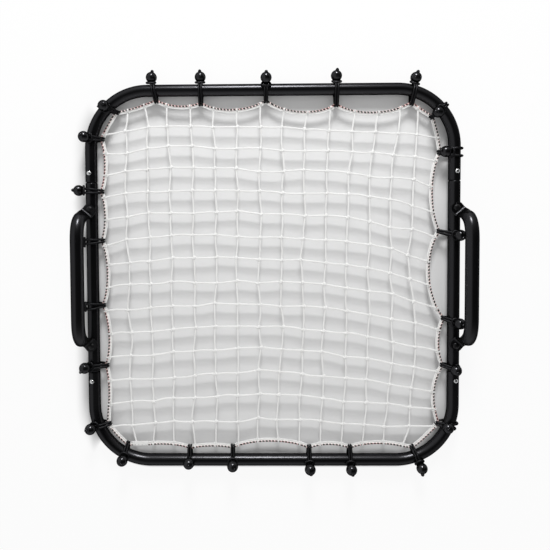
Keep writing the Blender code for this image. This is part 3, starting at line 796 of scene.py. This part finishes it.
def add_side_tube(name, side, coat):
    """A straight tube that narrows at each end by a short cone, to plug into the bends."""
    seam = SEAM_Y - TOUCH
    cone = np.linspace(0, 1, CONE_RINGS + 1)
    body = np.linspace(TUBE_START, seam - SWAGE_CONE - CONE_CLEAR, TUBE_RINGS)
    plug = np.concatenate([[seam + CONE_CLEAR], SEAM_Y + HOLE_STEP * PLUG_STEPS, [TUBE_END_Y]])
    y = np.concatenate([body, seam + SWAGE_CONE * (cone - 1), plug])
    radii = np.full(len(y), SWAGE_R)
    radii[: len(body)] = TUBE_R
    radii[len(body) : -len(plug)] += (TUBE_R - SWAGE_R) * (1 + np.cos(cone * pi)) / 2
    y, radii = np.concatenate([-y[::-1], y]), np.concatenate([radii[::-1], radii])
    path = raised(np.stack([np.full(len(y), side * HALF_W), y], -1))
    walls = walled(path, radii, radii - TUBE_WALL)
    tube = Skin(walls, looped=True).piece(name, "steel", coat, "black_tube")
    holes = [peg(BUTTON_R, BUTTON_PEG, button_matrix(side, end), TUBE_R) for end in (1, -1)]
    holes += [peg(BOLT_R, BOLT_PEG, bolt_matrix(side, end)) for end in (1, -1)]
    applied(tube, *holes)


def bolt_matrix(side, end, height=AXIS_Z):
    """Upright on a handle bolt's axis, at a height."""
    return Matrix.Translation((side * HALF_W, end * BOLT_Y, height))


def crimped(crimp):
    """Ring of the handle's tube: a plate with round edges for crimp 1, and a circle for crimp 0.

    Round the plate, half of each quarter goes over its round edge and half along its flat.
    """
    share = np.arange(HANDLE_SIDES) * 4 / HANDLE_SIDES
    mirrored = np.where(share % 2 > 1, 2 - share % 2, share % 2)
    edge = FOOT_THICK / 2
    flat = FOOT_WIDTH / 2 - edge
    turn = np.minimum(mirrored, 0.5) * pi
    across = np.where(mirrored < 0.5, flat + edge * np.cos(turn), flat * (1 - mirrored) * 2)
    plate = np.stack([across * np.where(abs(share - 2) < 1, -1, 1), edge * np.sin(turn)], -1)
    plate[:, 1] *= np.where(share > 2, -1, 1)
    crimp = np.asarray(crimp, float)[:, None, None]
    return plate * crimp + circle(HANDLE_SIDES, HANDLE_R) * (1 - crimp)


def handle_grid(side):
    """A handle, half of it from its foot's end to the grip's middle, and then its mirror image.

    The foot lies on the side tube, turned towards the grip, and folds up steeply. The leg follows a
    cubic curve with a set direction at each end, (2t^3 - 3t^2 + 1) * start + (t^3 - 2t^2 + t) * leave
    + (3t^2 - 2t^3) * stop + (t^3 - t^2) * arrive, while its section opens from a plate to a circle.
    """
    corner = np.linspace(0, pi / 2, FOOT_RINGS + 1)
    run = np.append(FOOT_CORNER * (1 - np.cos(corner)) - FOOT_REACH, FOOT_SEAT)
    narrow = np.append(1 - 2 * FOOT_CORNER / FOOT_WIDTH * (1 - np.sin(corner)), 1)
    fold = np.linspace(0, FOLD_TURN, FOOT_RINGS + 1)[1:]
    run = np.concatenate([run, FOOT_SEAT + FOLD_R * np.sin(fold)])
    rise = np.concatenate([np.zeros(len(narrow)), FOLD_R * (1 - np.cos(fold))])
    flat_ahead = np.array([cos(FOOT_TURN), -sin(FOOT_TURN), 0])
    bolt = np.array([HALF_W, BOLT_Y, FOOT_Z])
    foot = bolt + run[:, None] * flat_ahead + rise[:, None] * (0, 0, 1)
    t = np.linspace(0, 1, LEG_RINGS + 1)[1:, None]
    leave = LEG_SETS_OUT * (cos(FOLD_TURN) * flat_ahead + (0, 0, sin(FOLD_TURN)))
    arrive = np.array([0, -LEG_COMES_IN, 0])
    grip = np.array([HANDLE_X, BOLT_Y - HANDLE_BEND, GRIP_Z])
    leg = (2 * t**3 - 3 * t**2 + 1) * foot[-1] + (t**3 - 2 * t**2 + t) * leave
    leg = leg + (3 * t**2 - 2 * t**3) * grip + (t**3 - t**2) * arrive
    rest = np.linspace(1, 0, GRIP_RINGS + 1)[1:, None]
    path = np.concatenate([foot, leg, grip * (1, 0, 1) + rest * (0, grip[1], 0)])
    opened = np.ones(len(path))
    opened[: len(foot)] = 0
    opened[len(foot) : len(foot) + len(leg)] = np.minimum(1, t[:, 0] / CRIMP_SHARE)
    ring = crimped(1 - opened * opened * (3 - 2 * opened))
    ring[: len(narrow), :, 0] *= narrow[:, None]
    half = swept(path, ring, (0, 0, 1))
    return np.concatenate([half, half[-2::-1] * (1, -1, 1)]) * (side, 1, 1)


def add_handle(name, side, coat):
    """A handle with the two bolt holes through its feet."""
    handle = Skin(handle_grid(side)).piece(name, "steel", coat, "black_tube")
    applied(handle, *(peg(BOLT_R, FOOT_PEG, bolt_matrix(side, end, FOOT_Z)) for end in (1, -1)))


def add_bolt(label, side, end, finish):
    """A dome-headed bolt: low elliptic dome, rounded rim, flat seat, and a chamfered shank."""
    head = FOOT_Z + FOOT_THICK / 2 + TOUCH
    rim = head + BOLT_EDGE
    outline = arc(BOLT_HEAD_R, BOLT_HEAD - BOLT_EDGE, (0, rim), pi / 2, 0, BOLT_STEPS)
    outline += arc(BOLT_EDGE, BOLT_EDGE, (BOLT_HEAD_R - BOLT_EDGE, rim), 0, -pi / 2, BOLT_EDGE_STEPS)
    outline += [(BOLT_R, head), (BOLT_R, TOUCH + BOLT_EDGE), (BOLT_R - BOLT_EDGE, TOUCH)]
    grid = moved(revolved(outline[1:]), bolt_matrix(side, end, 0))
    Skin(grid).piece(f"handle_bolt_{label}", "dome", finish, "black_bolt")


def add_nut(label, side, end, finish):
    """A thin hexagon nut with chamfered corners: radius = the lesser of its flats' and a cone's."""
    flats, top = (NUT_HIGH[0] - NUT_LOW[0]) / 2, NUT_HIGH[2]
    turn = full_turn(TURNED_SIDES) + pi / TURNED_SIDES
    hexagon = flats / np.cos((turn + pi / 6) % (pi / 3) - pi / 6)
    height = np.array([*NUT_RINGS, top / 2])
    height = np.concatenate([height, (top - height)[-2::-1]])
    cone = flats + np.minimum(height, top - height) / tan(NUT_CHAMFER)
    hole = np.full((2, TURNED_SIDES), BOLT_R + TOUCH)
    radius = np.concatenate([np.minimum(hexagon, cone[:, None]), hole])
    grid = moved(rings(radius, np.append(height, (top, 0)), turn), bolt_matrix(side, end, 0))
    Skin(grid, looped=True).piece(f"bolt_nut_{label}", "hexagon", finish, "black_bolt")


def add_button(label, side, end, finish):
    """A snap button: an elliptic dome on a round pin, and the flange that keeps it in the tube."""
    rim = TUBE_R + BUTTON_RISE - BUTTON_DOME
    outline = arc(BUTTON_R, BUTTON_DOME, (0, rim), pi / 2, 0, BUTTON_STEPS)
    outline += [(BUTTON_R, FLANGE_TOP), (BUTTON_FLANGE_R - FLANGE_EDGE, FLANGE_TOP)]
    outline += [(BUTTON_FLANGE_R, FLANGE_TOP - drop) for drop in (FLANGE_EDGE, BUTTON_FLANGE)]
    name = f"snap_button_{label}"
    grid = moved(revolved(outline[1:]), button_matrix(side, end))
    Skin(grid).piece(name, "dome", finish, "zinc", body=name)


def add_leaf(label, side, end, finish):
    """A hairpin leaf spring: an arm behind the button, a half circle, and an arm on the far wall.

    Its flat section is carried along that course.
    """
    near = FLANGE_TOP - BUTTON_FLANGE - TOUCH - LEAF_THICK / 2
    far = TOUCH + LEAF_THICK / 2 - sqrt((SWAGE_R - TUBE_WALL) ** 2 - (LEAF_WIDTH / 2) ** 2)
    radius = (near - far) / 2
    arm = np.linspace(-LEAF_TAIL, LEAF_LENGTH, LEAF_RINGS + 1)[:-1]
    turn = np.linspace(pi / 2, -pi / 2, LEAF_RINGS + 1)
    bend = (LEAF_LENGTH, near - radius) + circle_at(turn) * radius
    way = np.concatenate([arm, bend[:, 0], arm[::-1]])
    height = np.concatenate([0 * arm + near, bend[:, 1], 0 * arm + far])
    wide, thick = LEAF_WIDTH / 2, LEAF_THICK / 2
    corner = np.array([(thick, wide - LEAF_EDGE), (thick - LEAF_EDGE, wide)])
    quarters = (corner, corner[::-1] * (-1, 1), corner * (-1, -1), corner[::-1] * (1, -1))
    grid = swept(np.stack([way, 0 * way, height], -1), np.concatenate(quarters), (0, 1, 0))
    place = button_matrix(side, end)
    skin = Skin(moved(grid, place))
    leaf = skin.piece(f"button_spring_{label}", "leaf", finish, "spring_steel", body=None)
    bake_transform(leaf)


def frame_line(share):
    """Points of the frame's centreline and its outward directions, clockwise from the top's middle.

    A quarter of the way round is half a side, a rounded corner and half the next side.
    """
    share = np.asarray(share, float) % 1
    quarter = np.floor(share * 4)
    travel = (share * 4 - quarter) * QUARTER
    along = circle_at(-quarter * pi / 2)
    out = np.stack([-along[..., 1], along[..., 0]], -1)
    run = np.where(quarter % 2 == 0, RUN_X, RUN_Y)
    next_run = RUN_X + RUN_Y - run
    angle = np.clip((travel - run) / CORNER_R, 0, pi / 2)[..., None]
    outward = out * np.cos(angle) + along * np.sin(angle)
    beyond = np.maximum(travel - run - CORNER_R * pi / 2, 0)
    straight = out * (next_run - beyond)[..., None] + along * np.minimum(travel, run)[..., None]
    return straight + outward * CORNER_R, outward


def rope_ties():
    """Where the ties hold the rope, in order round the frame: shares, insets and further draws.

    A slanted tie's rope end is found by stepping along the frame until it stands square to the end.
    """
    share, _, slant, held, drawn, _ = np.array([row[1:] for row in TIES]).T
    point, outward = frame_line(share)
    slanted = rightwards(outward) * np.tan(np.radians(slant))[:, None]
    end = point + (slanted - outward) * held[:, None] * ROPE_HELD
    for _ in range(END_STEPS):
        share = share + ((end - point) * rightwards(outward)).sum(1) / PERIMETER
        point, outward = frame_line(share)
    inset = ((point - end) * outward).sum(1)
    order = np.argsort(share % 1)
    return (share % 1)[order], inset[order], drawn[order] * NET_DRAW


def rope_inset(share):
    """How far inside the tube's axis the rope lies.

    Between two ties it goes evenly from one's inset to the other's, and sags further by
    drawn * (4 * share * (1 - share)) ** SAG_POWER of the share of the way.
    """
    ends, held, drawn = rope_ties()
    share = np.asarray(share, float) % 1
    k = np.searchsorted(ends, share, side="right") - 1
    after = (k + 1) % len(ends)
    way = (share - ends[k]) % 1 / ((ends[after] - ends[k]) % 1)
    return held[k] + (held[after] - held[k]) * way + drawn[k] * (4 * way * (1 - way)) ** SAG_POWER


def rope_point(share):
    """The rope's place in plan."""
    point, outward = frame_line(share)
    return point - outward * rope_inset(share)[..., None]


def smoothed(ring, reach):
    """Running Gaussian mean of a closed ring, over a reach counted in its points."""
    offset = np.arange(-3 * reach, 3 * reach + 1)
    weight = np.exp(-((offset / reach) ** 2) / 2)
    wrapped = np.concatenate([ring[-3 * reach :], ring, ring[: 3 * reach]])
    return np.stack([np.convolve(axis, weight / weight.sum(), "valid") for axis in wrapped.T], -1)


def outwards(ring):
    """Outward directions of a clockwise ring, square to its own run."""
    return -rightwards(unit(np.roll(ring, -1, 0) - np.roll(ring, 1, 0)))


def raised(plan, height=AXIS_Z):
    """Plan points at a height."""
    return np.column_stack([plan, np.broadcast_to(height, len(plan))])


def add_rope(ring, finish):
    """The border rope: a braid whose yarns cross over and under, swept round the frame.

    Radius = ROPE_R - BRAID_DEPTH * (1 - |sin|) of the yarn that lies on top. With a = yarns * u +
    v / lay and b = yarns * u - v / lay, the rising yarn is on top where floor(a) + floor(b) is even.
    """
    path = raised(ring)
    u = np.arange(ROPE_SIDES) / ROPE_SIDES
    v = travelled(path)[:, None]
    cells = round(v[-1, 0] / BRAID_LAY / 2) * 2
    lay = travelled(path, looped=True)[-1] / cells
    a, b = BRAID_YARNS * u + v / lay, BRAID_YARNS * u - v / lay
    rising = (np.floor(a) + np.floor(b)) % 2 == 0
    ridge = np.where(rising, abs(np.sin(pi * b)), abs(np.sin(pi * a)))
    section = circle(ROPE_SIDES) * (ROPE_R - BRAID_DEPTH * (1 - ridge))[..., None]
    grid = swept(path, section, (0, 0, 1), looped=True)
    Skin(grid, looped=True).piece("border_rope", "braid", finish, "rope_fibre")


def add_net_edge(ring, finish):
    """The net's edge line, three-ply twine that runs along the rope's inner side.

    Radius = EDGE_R * (1 + a ninth of cos of three times the turn), and the plies wind round it.
    """
    path = raised(ring - outwards(ring) * (ROPE_R + EDGE_R))
    wound = travelled(path)[:, None] * 2 * pi / TWINE_LAY
    lobes = 1 + np.cos(3 * full_turn(EDGE_SIDES) - wound) / 9
    grid = swept(path, circle(EDGE_SIDES, EDGE_R) * lobes[..., None], (0, 0, 1), looped=True)
    Skin(grid, looped=True).piece("net", "edge_line", finish, "net_twine", replaces=False)


def loop_course(reach, wide, tight, steps, end_steps):
    """Closed course round two circles: arcs of radius wide and tight, and the straights between.

    X points from the first middle to the second, reach away, Y up. The straights touch both circles.
    """
    meet = acos((wide - tight) / reach)
    far = circle_at(np.linspace(meet, 2 * pi - meet, steps)) * wide
    near = circle_at(np.linspace(-meet, meet, end_steps)) * tight + (reach, 0)
    return raised(np.concatenate([far, near]), 0)


def thread_turn():
    """The course of one turn of thin twine round the rope and the net's edge line."""
    return loop_course(ROPE_R + EDGE_R, ROPE_R + THREAD_R, EDGE_R + THREAD_R, *THREAD_STEPS)


def placed(grid, middle, outward):
    """A grid with X inwards, Y up and Z along the tube, set on a plan point of the frame."""
    inwards, up = np.array([-outward[0], -outward[1], 0]), np.array([0, 0, 1.0])
    axes = np.stack([inwards, up, np.cross(inwards, up)])
    return grid @ axes + (middle[0], middle[1], AXIS_Z)


def strand_shares(start, stop, slid):
    """Where the strands of one side of the net end on the rope, in order and clear of the ties."""
    spread = np.linspace(0, 1, MESHES - 1)
    shares = (start + (stop - start) % 1 * (spread + slid * np.sin(pi * spread))) % 1
    clear = NET_CLEAR / PERIMETER
    for end in rope_ties()[0]:
        apart = (shares - end + 0.5) % 1 - 0.5
        shares = np.where(abs(apart) < clear, end + np.where(apart >= 0, clear, -clear), shares)
    return shares


def net_points():
    """Points of the net, rows from the top and columns from the left.

    The outer lines are the strand ends on the rope. Every crossing settles midway between its four
    neighbours, as in a net under even pull, then the net bows in a few half waves and sits unevenly.
    """
    ends = {side: rope_point(strand_shares(*reach)) for side, *reach in NET_SIDES}
    last = MESHES
    net = np.zeros((MESHES + 1, MESHES + 1, 2))
    net[0, 1:last] = ends["top"]
    net[1:last, last] = ends["right"]
    net[last, 1:last] = ends["bottom"][::-1]
    net[1:last, 0] = ends["left"][::-1]
    for _ in range(NET_SETTLING):
        net[1:-1, 1:-1] = (net[:-2, 1:-1] + net[2:, 1:-1] + net[1:-1, :-2] + net[1:-1, 2:]) / 4
    part = np.linspace(0, pi, MESHES + 1)
    for down, across, bowed in NET_BOWS:
        wave = np.outer(np.sin(down * part), np.sin(across * part))
        net[1:-1, 1:-1, 1] += NET_BOW * bowed * wave[1:-1, 1:-1]
    rng = np.random.default_rng(NET_SEED)
    net[1:-1, 1:-1] += rng.normal(0, NET_UNEVEN, (MESHES - 1, MESHES - 1, 2))
    height = np.full(net.shape[:2], AXIS_Z)
    height[1:-1, 1:-1] += rng.normal(0, NET_UNEVEN_Z, (MESHES - 1, MESHES - 1))
    return np.dstack([net, height])


def strand_path(points, bows):
    """A strand through its crossings, each span bowed sideways by bow * sin(pi * share of the span)."""
    share = np.arange(SPAN_RINGS) / SPAN_RINGS
    spans = np.diff(points, axis=0)
    sideways = unit(np.stack([-spans[:, 1], spans[:, 0], np.zeros(len(spans))], -1))
    path = points[:-1, None] + spans[:, None] * share[:, None]
    path = path + sideways[:, None] * (bows[:, None] * np.sin(pi * share))[..., None]
    return np.concatenate([path.reshape(-1, 3), points[-1:]])


def add_net(net, finish):
    """The net's strands, each from one side of the border to the other."""
    rng = np.random.default_rng(NET_SEED + 1)
    skin = Skin()
    for lines in (net[1:-1], net.transpose(1, 0, 2)[1:-1]):
        for line in lines:
            points = line.copy()
            for end, near in ((0, 1), (-1, -2)):
                points[end] += unit(points[near] - points[end]) * (ROPE_R + EDGE_R)
            path = strand_path(points, rng.normal(0, STRAND_BOW, MESHES))
            skin.add(swept(path, circle(TWINE_SIDES, TWINE_R), (0, 0, 1)))
    skin.piece("net", "strands", finish, "net_twine")


def add_knots(net, finish):
    """A knot at each crossing: a ball drawn out along one diagonal, with a waist where twines cross.

    A ring's height = size * KNOT_FLAT * cos(lift), and its radius = size * (1 + lobes) * sin(lift)
    with lobes = KNOT_DRAWN * cos(2 turn) * sin(lift) - KNOT_WAIST * cos(6 turn).
    """
    rng = np.random.default_rng(NET_SEED + 2)
    lift = np.linspace(0, pi, KNOT_RINGS + 2)[1:-1]
    slim = np.sin(lift)[:, None]
    turn = full_turn(KNOT_SIDES)
    lobes = KNOT_DRAWN * np.cos(2 * turn) * slim - KNOT_WAIST * np.cos(6 * turn)
    radius = (1 + lobes) * slim
    skin = Skin()
    for spot in net[1:-1, 1:-1].reshape(-1, 3):
        size, lean = rng.uniform(*KNOT_SIZES), rng.normal(pi / 4, KNOT_UNEVEN_TURN)
        skin.add(rings(size * radius, size * KNOT_FLAT * np.cos(lift), turn + lean) + spot)
    skin.piece("net", "knots", finish, "net_twine", replaces=False)


def add_hitches(ring, finish):
    """Two crossed turns of thin twine at each strand's end, round the rope and the net's edge line."""
    outward = outwards(ring)
    crossed = []
    for way in (-1, 1):
        course = thread_turn()
        course[:, 2] += way * (course[:, 0] * HITCH_SLOPE + THREAD_R)
        crossed.append(swept(course, circle(TWINE_SIDES, THREAD_R), (0, 0, 1), looped=True))
    skin = Skin()
    for _, *reach in NET_SIDES:
        for share in strand_shares(*reach):
            k = round(share * len(ring)) % len(ring)
            for grid in crossed:
                skin.add(placed(grid, ring[k], outward[k]), looped=True)
    skin.piece("net", "hitches", finish, "net_twine", replaces=False)


def add_winding(ring, finish):
    """Net twine wound close round the rope and the edge line, along one stretch of the bottom.

    The coil's course is the turn round both, carried on by a little over one thread's width each turn.
    """
    start, stop = (round(share * len(ring)) for share in WOUND)
    turns = int(travelled(ring[start : stop + 1])[-1] / (WINDING_STEP * THREAD_R))
    course = thread_turn()
    place = np.linspace(start, stop, turns * len(course))
    point, out = (
        np.stack([np.interp(place, np.arange(len(ring)), line[:, k]) for k in (0, 1)], -1)
        for line in (ring, outwards(ring))
    )
    out = unit(out)
    wound = np.tile(course, (turns, 1))
    path = raised(point - out * wound[:, :1], AXIS_Z + wound[:, 1])
    grid = swept(path, circle(TWINE_SIDES, THREAD_R), raised(rightwards(out), 0))
    Skin(grid).piece("net", "winding", finish, "net_twine", replaces=False)


def tie_strand(reach, offset):
    """One cord of a tie, round the tube and the rope: a circle swept along the closed course."""
    apart = TIE_SLACK + CORD_R
    course = loop_course(reach, TUBE_R + apart, ROPE_R + apart, *CORD_STEPS)
    return swept(course + (0, 0, offset), circle(CORD_SIDES, CORD_R), (0, 0, 1), looped=True)


def tie_collar(ball_turn):
    """The cord's end hooked round the ball's neck: an oval laid on the tube under the ball."""
    turn = full_turn(COLLAR_STEPS)
    radius = TUBE_R + TIE_SLACK + CORD_R + COLLAR_PROUD + COLLAR_WAVE * np.cos(2 * turn)
    middle = ball_turn - np.sign(ball_turn) * COLLAR_BACK
    lean = middle + COLLAR_DEEP * np.cos(turn) / radius
    path = np.stack([-np.sin(lean) * radius, np.cos(lean) * radius, COLLAR_WIDE * np.sin(turn)], -1)
    out = np.array([-sin(middle), cos(middle), 0])
    return swept(path, circle(CORD_SIDES, CORD_R), out, looped=True)


def ball_grid():
    """A ball with its poles up and down, and a hair-thin moulding seam round its middle.

    Radius = BALL_R + BALL_SEAM * exp(-(lift from the middle / BALL_SEAM_TURN) squared).
    """
    lift = np.linspace(BALL_POLE - pi / 2, SEAM_RINGS[0], BALL_RINGS)
    lift = np.append(lift, SEAM_RINGS[1:])
    lift = np.concatenate([lift, [0], -lift[::-1]])
    bulge = BALL_R + BALL_SEAM * np.exp(-((lift / BALL_SEAM_TURN) ** 2))
    outline = np.stack([bulge * np.cos(lift), -bulge * np.sin(lift)], -1)
    return revolved(outline, BALL_SIDES)[..., [0, 2, 1]] * (1, 1, -1)


def nub_grid():
    """The knot of the cord's ends on the ball's far side: a lobed blob, taller than it is wide.

    A ring's radius = NUB_R * (1 + NUB_LOBES * cos(3 turn) * sin(angle)) * sin(angle).
    """
    angle = np.linspace(0, pi, NUB_RINGS + 2)[1:-1]
    slim = np.sin(angle)[:, None]
    turn = full_turn(NUB_SIDES)
    radius = NUB_R * (1 + NUB_LOBES * np.cos(3 * turn) * slim) * slim
    return rings(radius, BALL_R + NUB_R * NUB_TALL * np.cos(angle), turn)[..., [0, 2, 1]]


def add_tie(name, share, ball_turn, slant, held, spread, lean, cord, plastic):
    """A ball tie: two cords round tube and rope, the collar that hooks the ball, and the ball.

    The cords are sheared along the tube by the slant, and pressed flat where they touch the floor.
    """
    reach = held * ROPE_HELD
    middle, outward = frame_line(share)
    away = TUBE_R + BALL_GAP + BALL_R
    shift = (0, 0, tan(slant) * sin(ball_turn) * away)
    skin = Skin()
    for offset in (-STRAND_APART, STRAND_APART):
        grid = tie_strand(reach, offset)
        grid[..., 2] += np.sign(offset) * spread * np.clip(1 - grid[..., 0] / reach, 0, 1)
        grid[..., 2] -= tan(slant) * grid[..., 0]
        grid[..., 1] = np.maximum(grid[..., 1], -AXIS_Z)
        skin.add(placed(grid, middle, outward), looped=True)
    skin.add(placed(tie_collar(ball_turn) + shift, middle, outward), looped=True)
    skin.piece(f"tie_{name}", "cord", cord, "tie_black")
    hang = Matrix.Translation(shift) @ Matrix.Rotation(ball_turn, 4, "Z")
    hang = hang @ Matrix.Translation((0, away, 0))
    ball = Skin(placed(moved(ball_grid(), hang), middle, outward))
    ball.add(placed(moved(nub_grid(), hang @ Matrix.Rotation(lean, 4, "X")), middle, outward))
    ball.piece(f"tie_{name}", "ball", plastic, "tie_black", replaces=False)


def add_floor():
    """A flat pale floor, which isn't part of the object."""
    mesh = bpy.data.meshes.new("floor")
    corners = [(x * FLOOR_REACH, y * FLOOR_REACH, 0) for x, y in ((-1, -1), (1, -1), (1, 1), (-1, 1))]
    mesh.from_pydata(corners, [], [(0, 1, 2, 3)])
    mesh.materials.append(floor_paper())
    linked("floor", mesh)


# The photograph's camera: lens and shift, its place from the frame's middle, and its turn in degrees
LENS = 36.33
LENS_SHIFT = (0.0544, -0.0672)
CAMERA_PLACE = (-0.0444, 0.1287, 1.2384)
CAMERA_TURN = (-2.023, 0.7234, -0.3167)

# Light: a soft box beyond the top of the frame, and a fill that comes more from the other side
STRIP_AWAY = 3.0
STRIP_OFF_VERTICAL = radians(58)
STRIP_SIZE = (0.75, 0.8)
STRIP_WATTS = 70
FILL = 0.58
FILL_LEAN = 0.7

# What reflections see of the surroundings: a pale backdrop low down and towards the top and bottom of
# the frame, and over it a ceiling that turns darker from left to right. The steps are directions
BACKDROP = 0.9
BACKDROP_STEP = (0.02, 0.14)
CEILING_LEFT = 0.60
CEILING_RIGHT = 0.0
CEILING_STEP = (-0.55, -0.10)


def add_strip():
    """The strip light, turned towards the frame's middle."""
    lamp = bpy.data.lights.new("strip", "AREA")
    lamp.shape = "RECTANGLE"
    lamp.size, lamp.size_y = STRIP_SIZE
    lamp.energy = STRIP_WATTS
    towards = Vector((0, sin(STRIP_OFF_VERTICAL), cos(STRIP_OFF_VERTICAL)))
    strip = linked("strip", lamp)
    strip.location = Vector(MIDDLE) + towards * STRIP_AWAY
    strip.rotation_euler = towards.to_track_quat("Z", "Y").to_euler()


def add_surroundings():
    """The world: a soft fill to the surfaces, white to the eye, and to reflections a studio.

    Fill = FILL * (1 - FILL_LEAN * y). Studio = ceiling + (BACKDROP - ceiling) * pale, with pale the
    greater of y squared and a step that is 1 low down.
    """
    world = bpy.data.worlds.new("surroundings")
    world.use_nodes = True
    air = Reckoner(world.node_tree)
    x, y, z = air.parts(air.node("ShaderNodeTexCoord", output="Generated"))
    ceiling = CEILING_LEFT + (CEILING_RIGHT - CEILING_LEFT) * air.step(x, *CEILING_STEP)
    pale = air.math("MAXIMUM", y * y, 1 - air.step(z, *BACKDROP_STEP))
    studio = ceiling + (BACKDROP - ceiling) * pale
    eye, mirrored, both = air.sight()
    strength = eye + mirrored * studio + (1 - both) * (FILL * (1 - FILL_LEAN * y))
    background = world.node_tree.nodes["Background"]
    air.feed(background.inputs["Color"], colour(1, 1, 1))
    air.feed(background.inputs["Strength"], strength)
    bpy.context.scene.world = world


def add_camera():
    """The photograph's camera, nearly straight above the frame and a little towards its top."""
    lens = bpy.data.cameras.new("camera")
    lens.lens = LENS
    lens.shift_x, lens.shift_y = LENS_SHIFT
    camera = linked("camera", lens)
    camera.location = Vector(MIDDLE) + Vector(CAMERA_PLACE)
    camera.rotation_euler = Euler([radians(turn) for turn in CAMERA_TURN])
    bpy.context.scene.camera = camera


def build():
    """Makes every piece, the floor, the lights and the camera."""
    coat, bolt, plate, leaf = powder_coat(), black_bolt(), zinc(), spring_steel()
    braid, twine, cord, plastic = rope_braid(), net_twine(), elastic_cord(), ball_plastic()
    for end_name, end in (("top", 1), ("bottom", -1)):
        add_bend(f"frame_{end_name}_bend", end, coat)
    for side_name, side in (("left", -1), ("right", 1)):
        add_side_tube(f"{side_name}_side_tube", side, coat)
        add_handle(f"{side_name}_handle", side, coat)
        for end_name, end in (("top", 1), ("bottom", -1)):
            label = f"{end_name}_{side_name}"
            add_bolt(label, side, end, bolt)
            add_nut(label, side, end, bolt)
            add_button(label, side, end, plate)
            add_leaf(label, side, end, leaf)
    count = round(PERIMETER / ROPE_STEP)
    ring = smoothed(rope_point(np.arange(count) / count), ROPE_SMOOTHING)
    add_rope(ring, braid)
    add_net_edge(ring, twine)
    net = net_points()
    add_net(net, twine)
    add_knots(net, twine)
    add_hitches(ring, twine)
    add_winding(ring, twine)
    leans = np.random.default_rng(NET_SEED).normal(0, NUB_LEAN, len(TIES))
    for (name, share, ball_turn, slant, held, _, spread), lean in zip(TIES, leans):
        add_tie(name, share, radians(ball_turn), radians(slant), held, spread, lean, cord, plastic)
    add_floor()
    add_strip()
    add_surroundings()
    add_camera()
    bpy.context.scene.view_settings.view_transform = "Standard"


build()
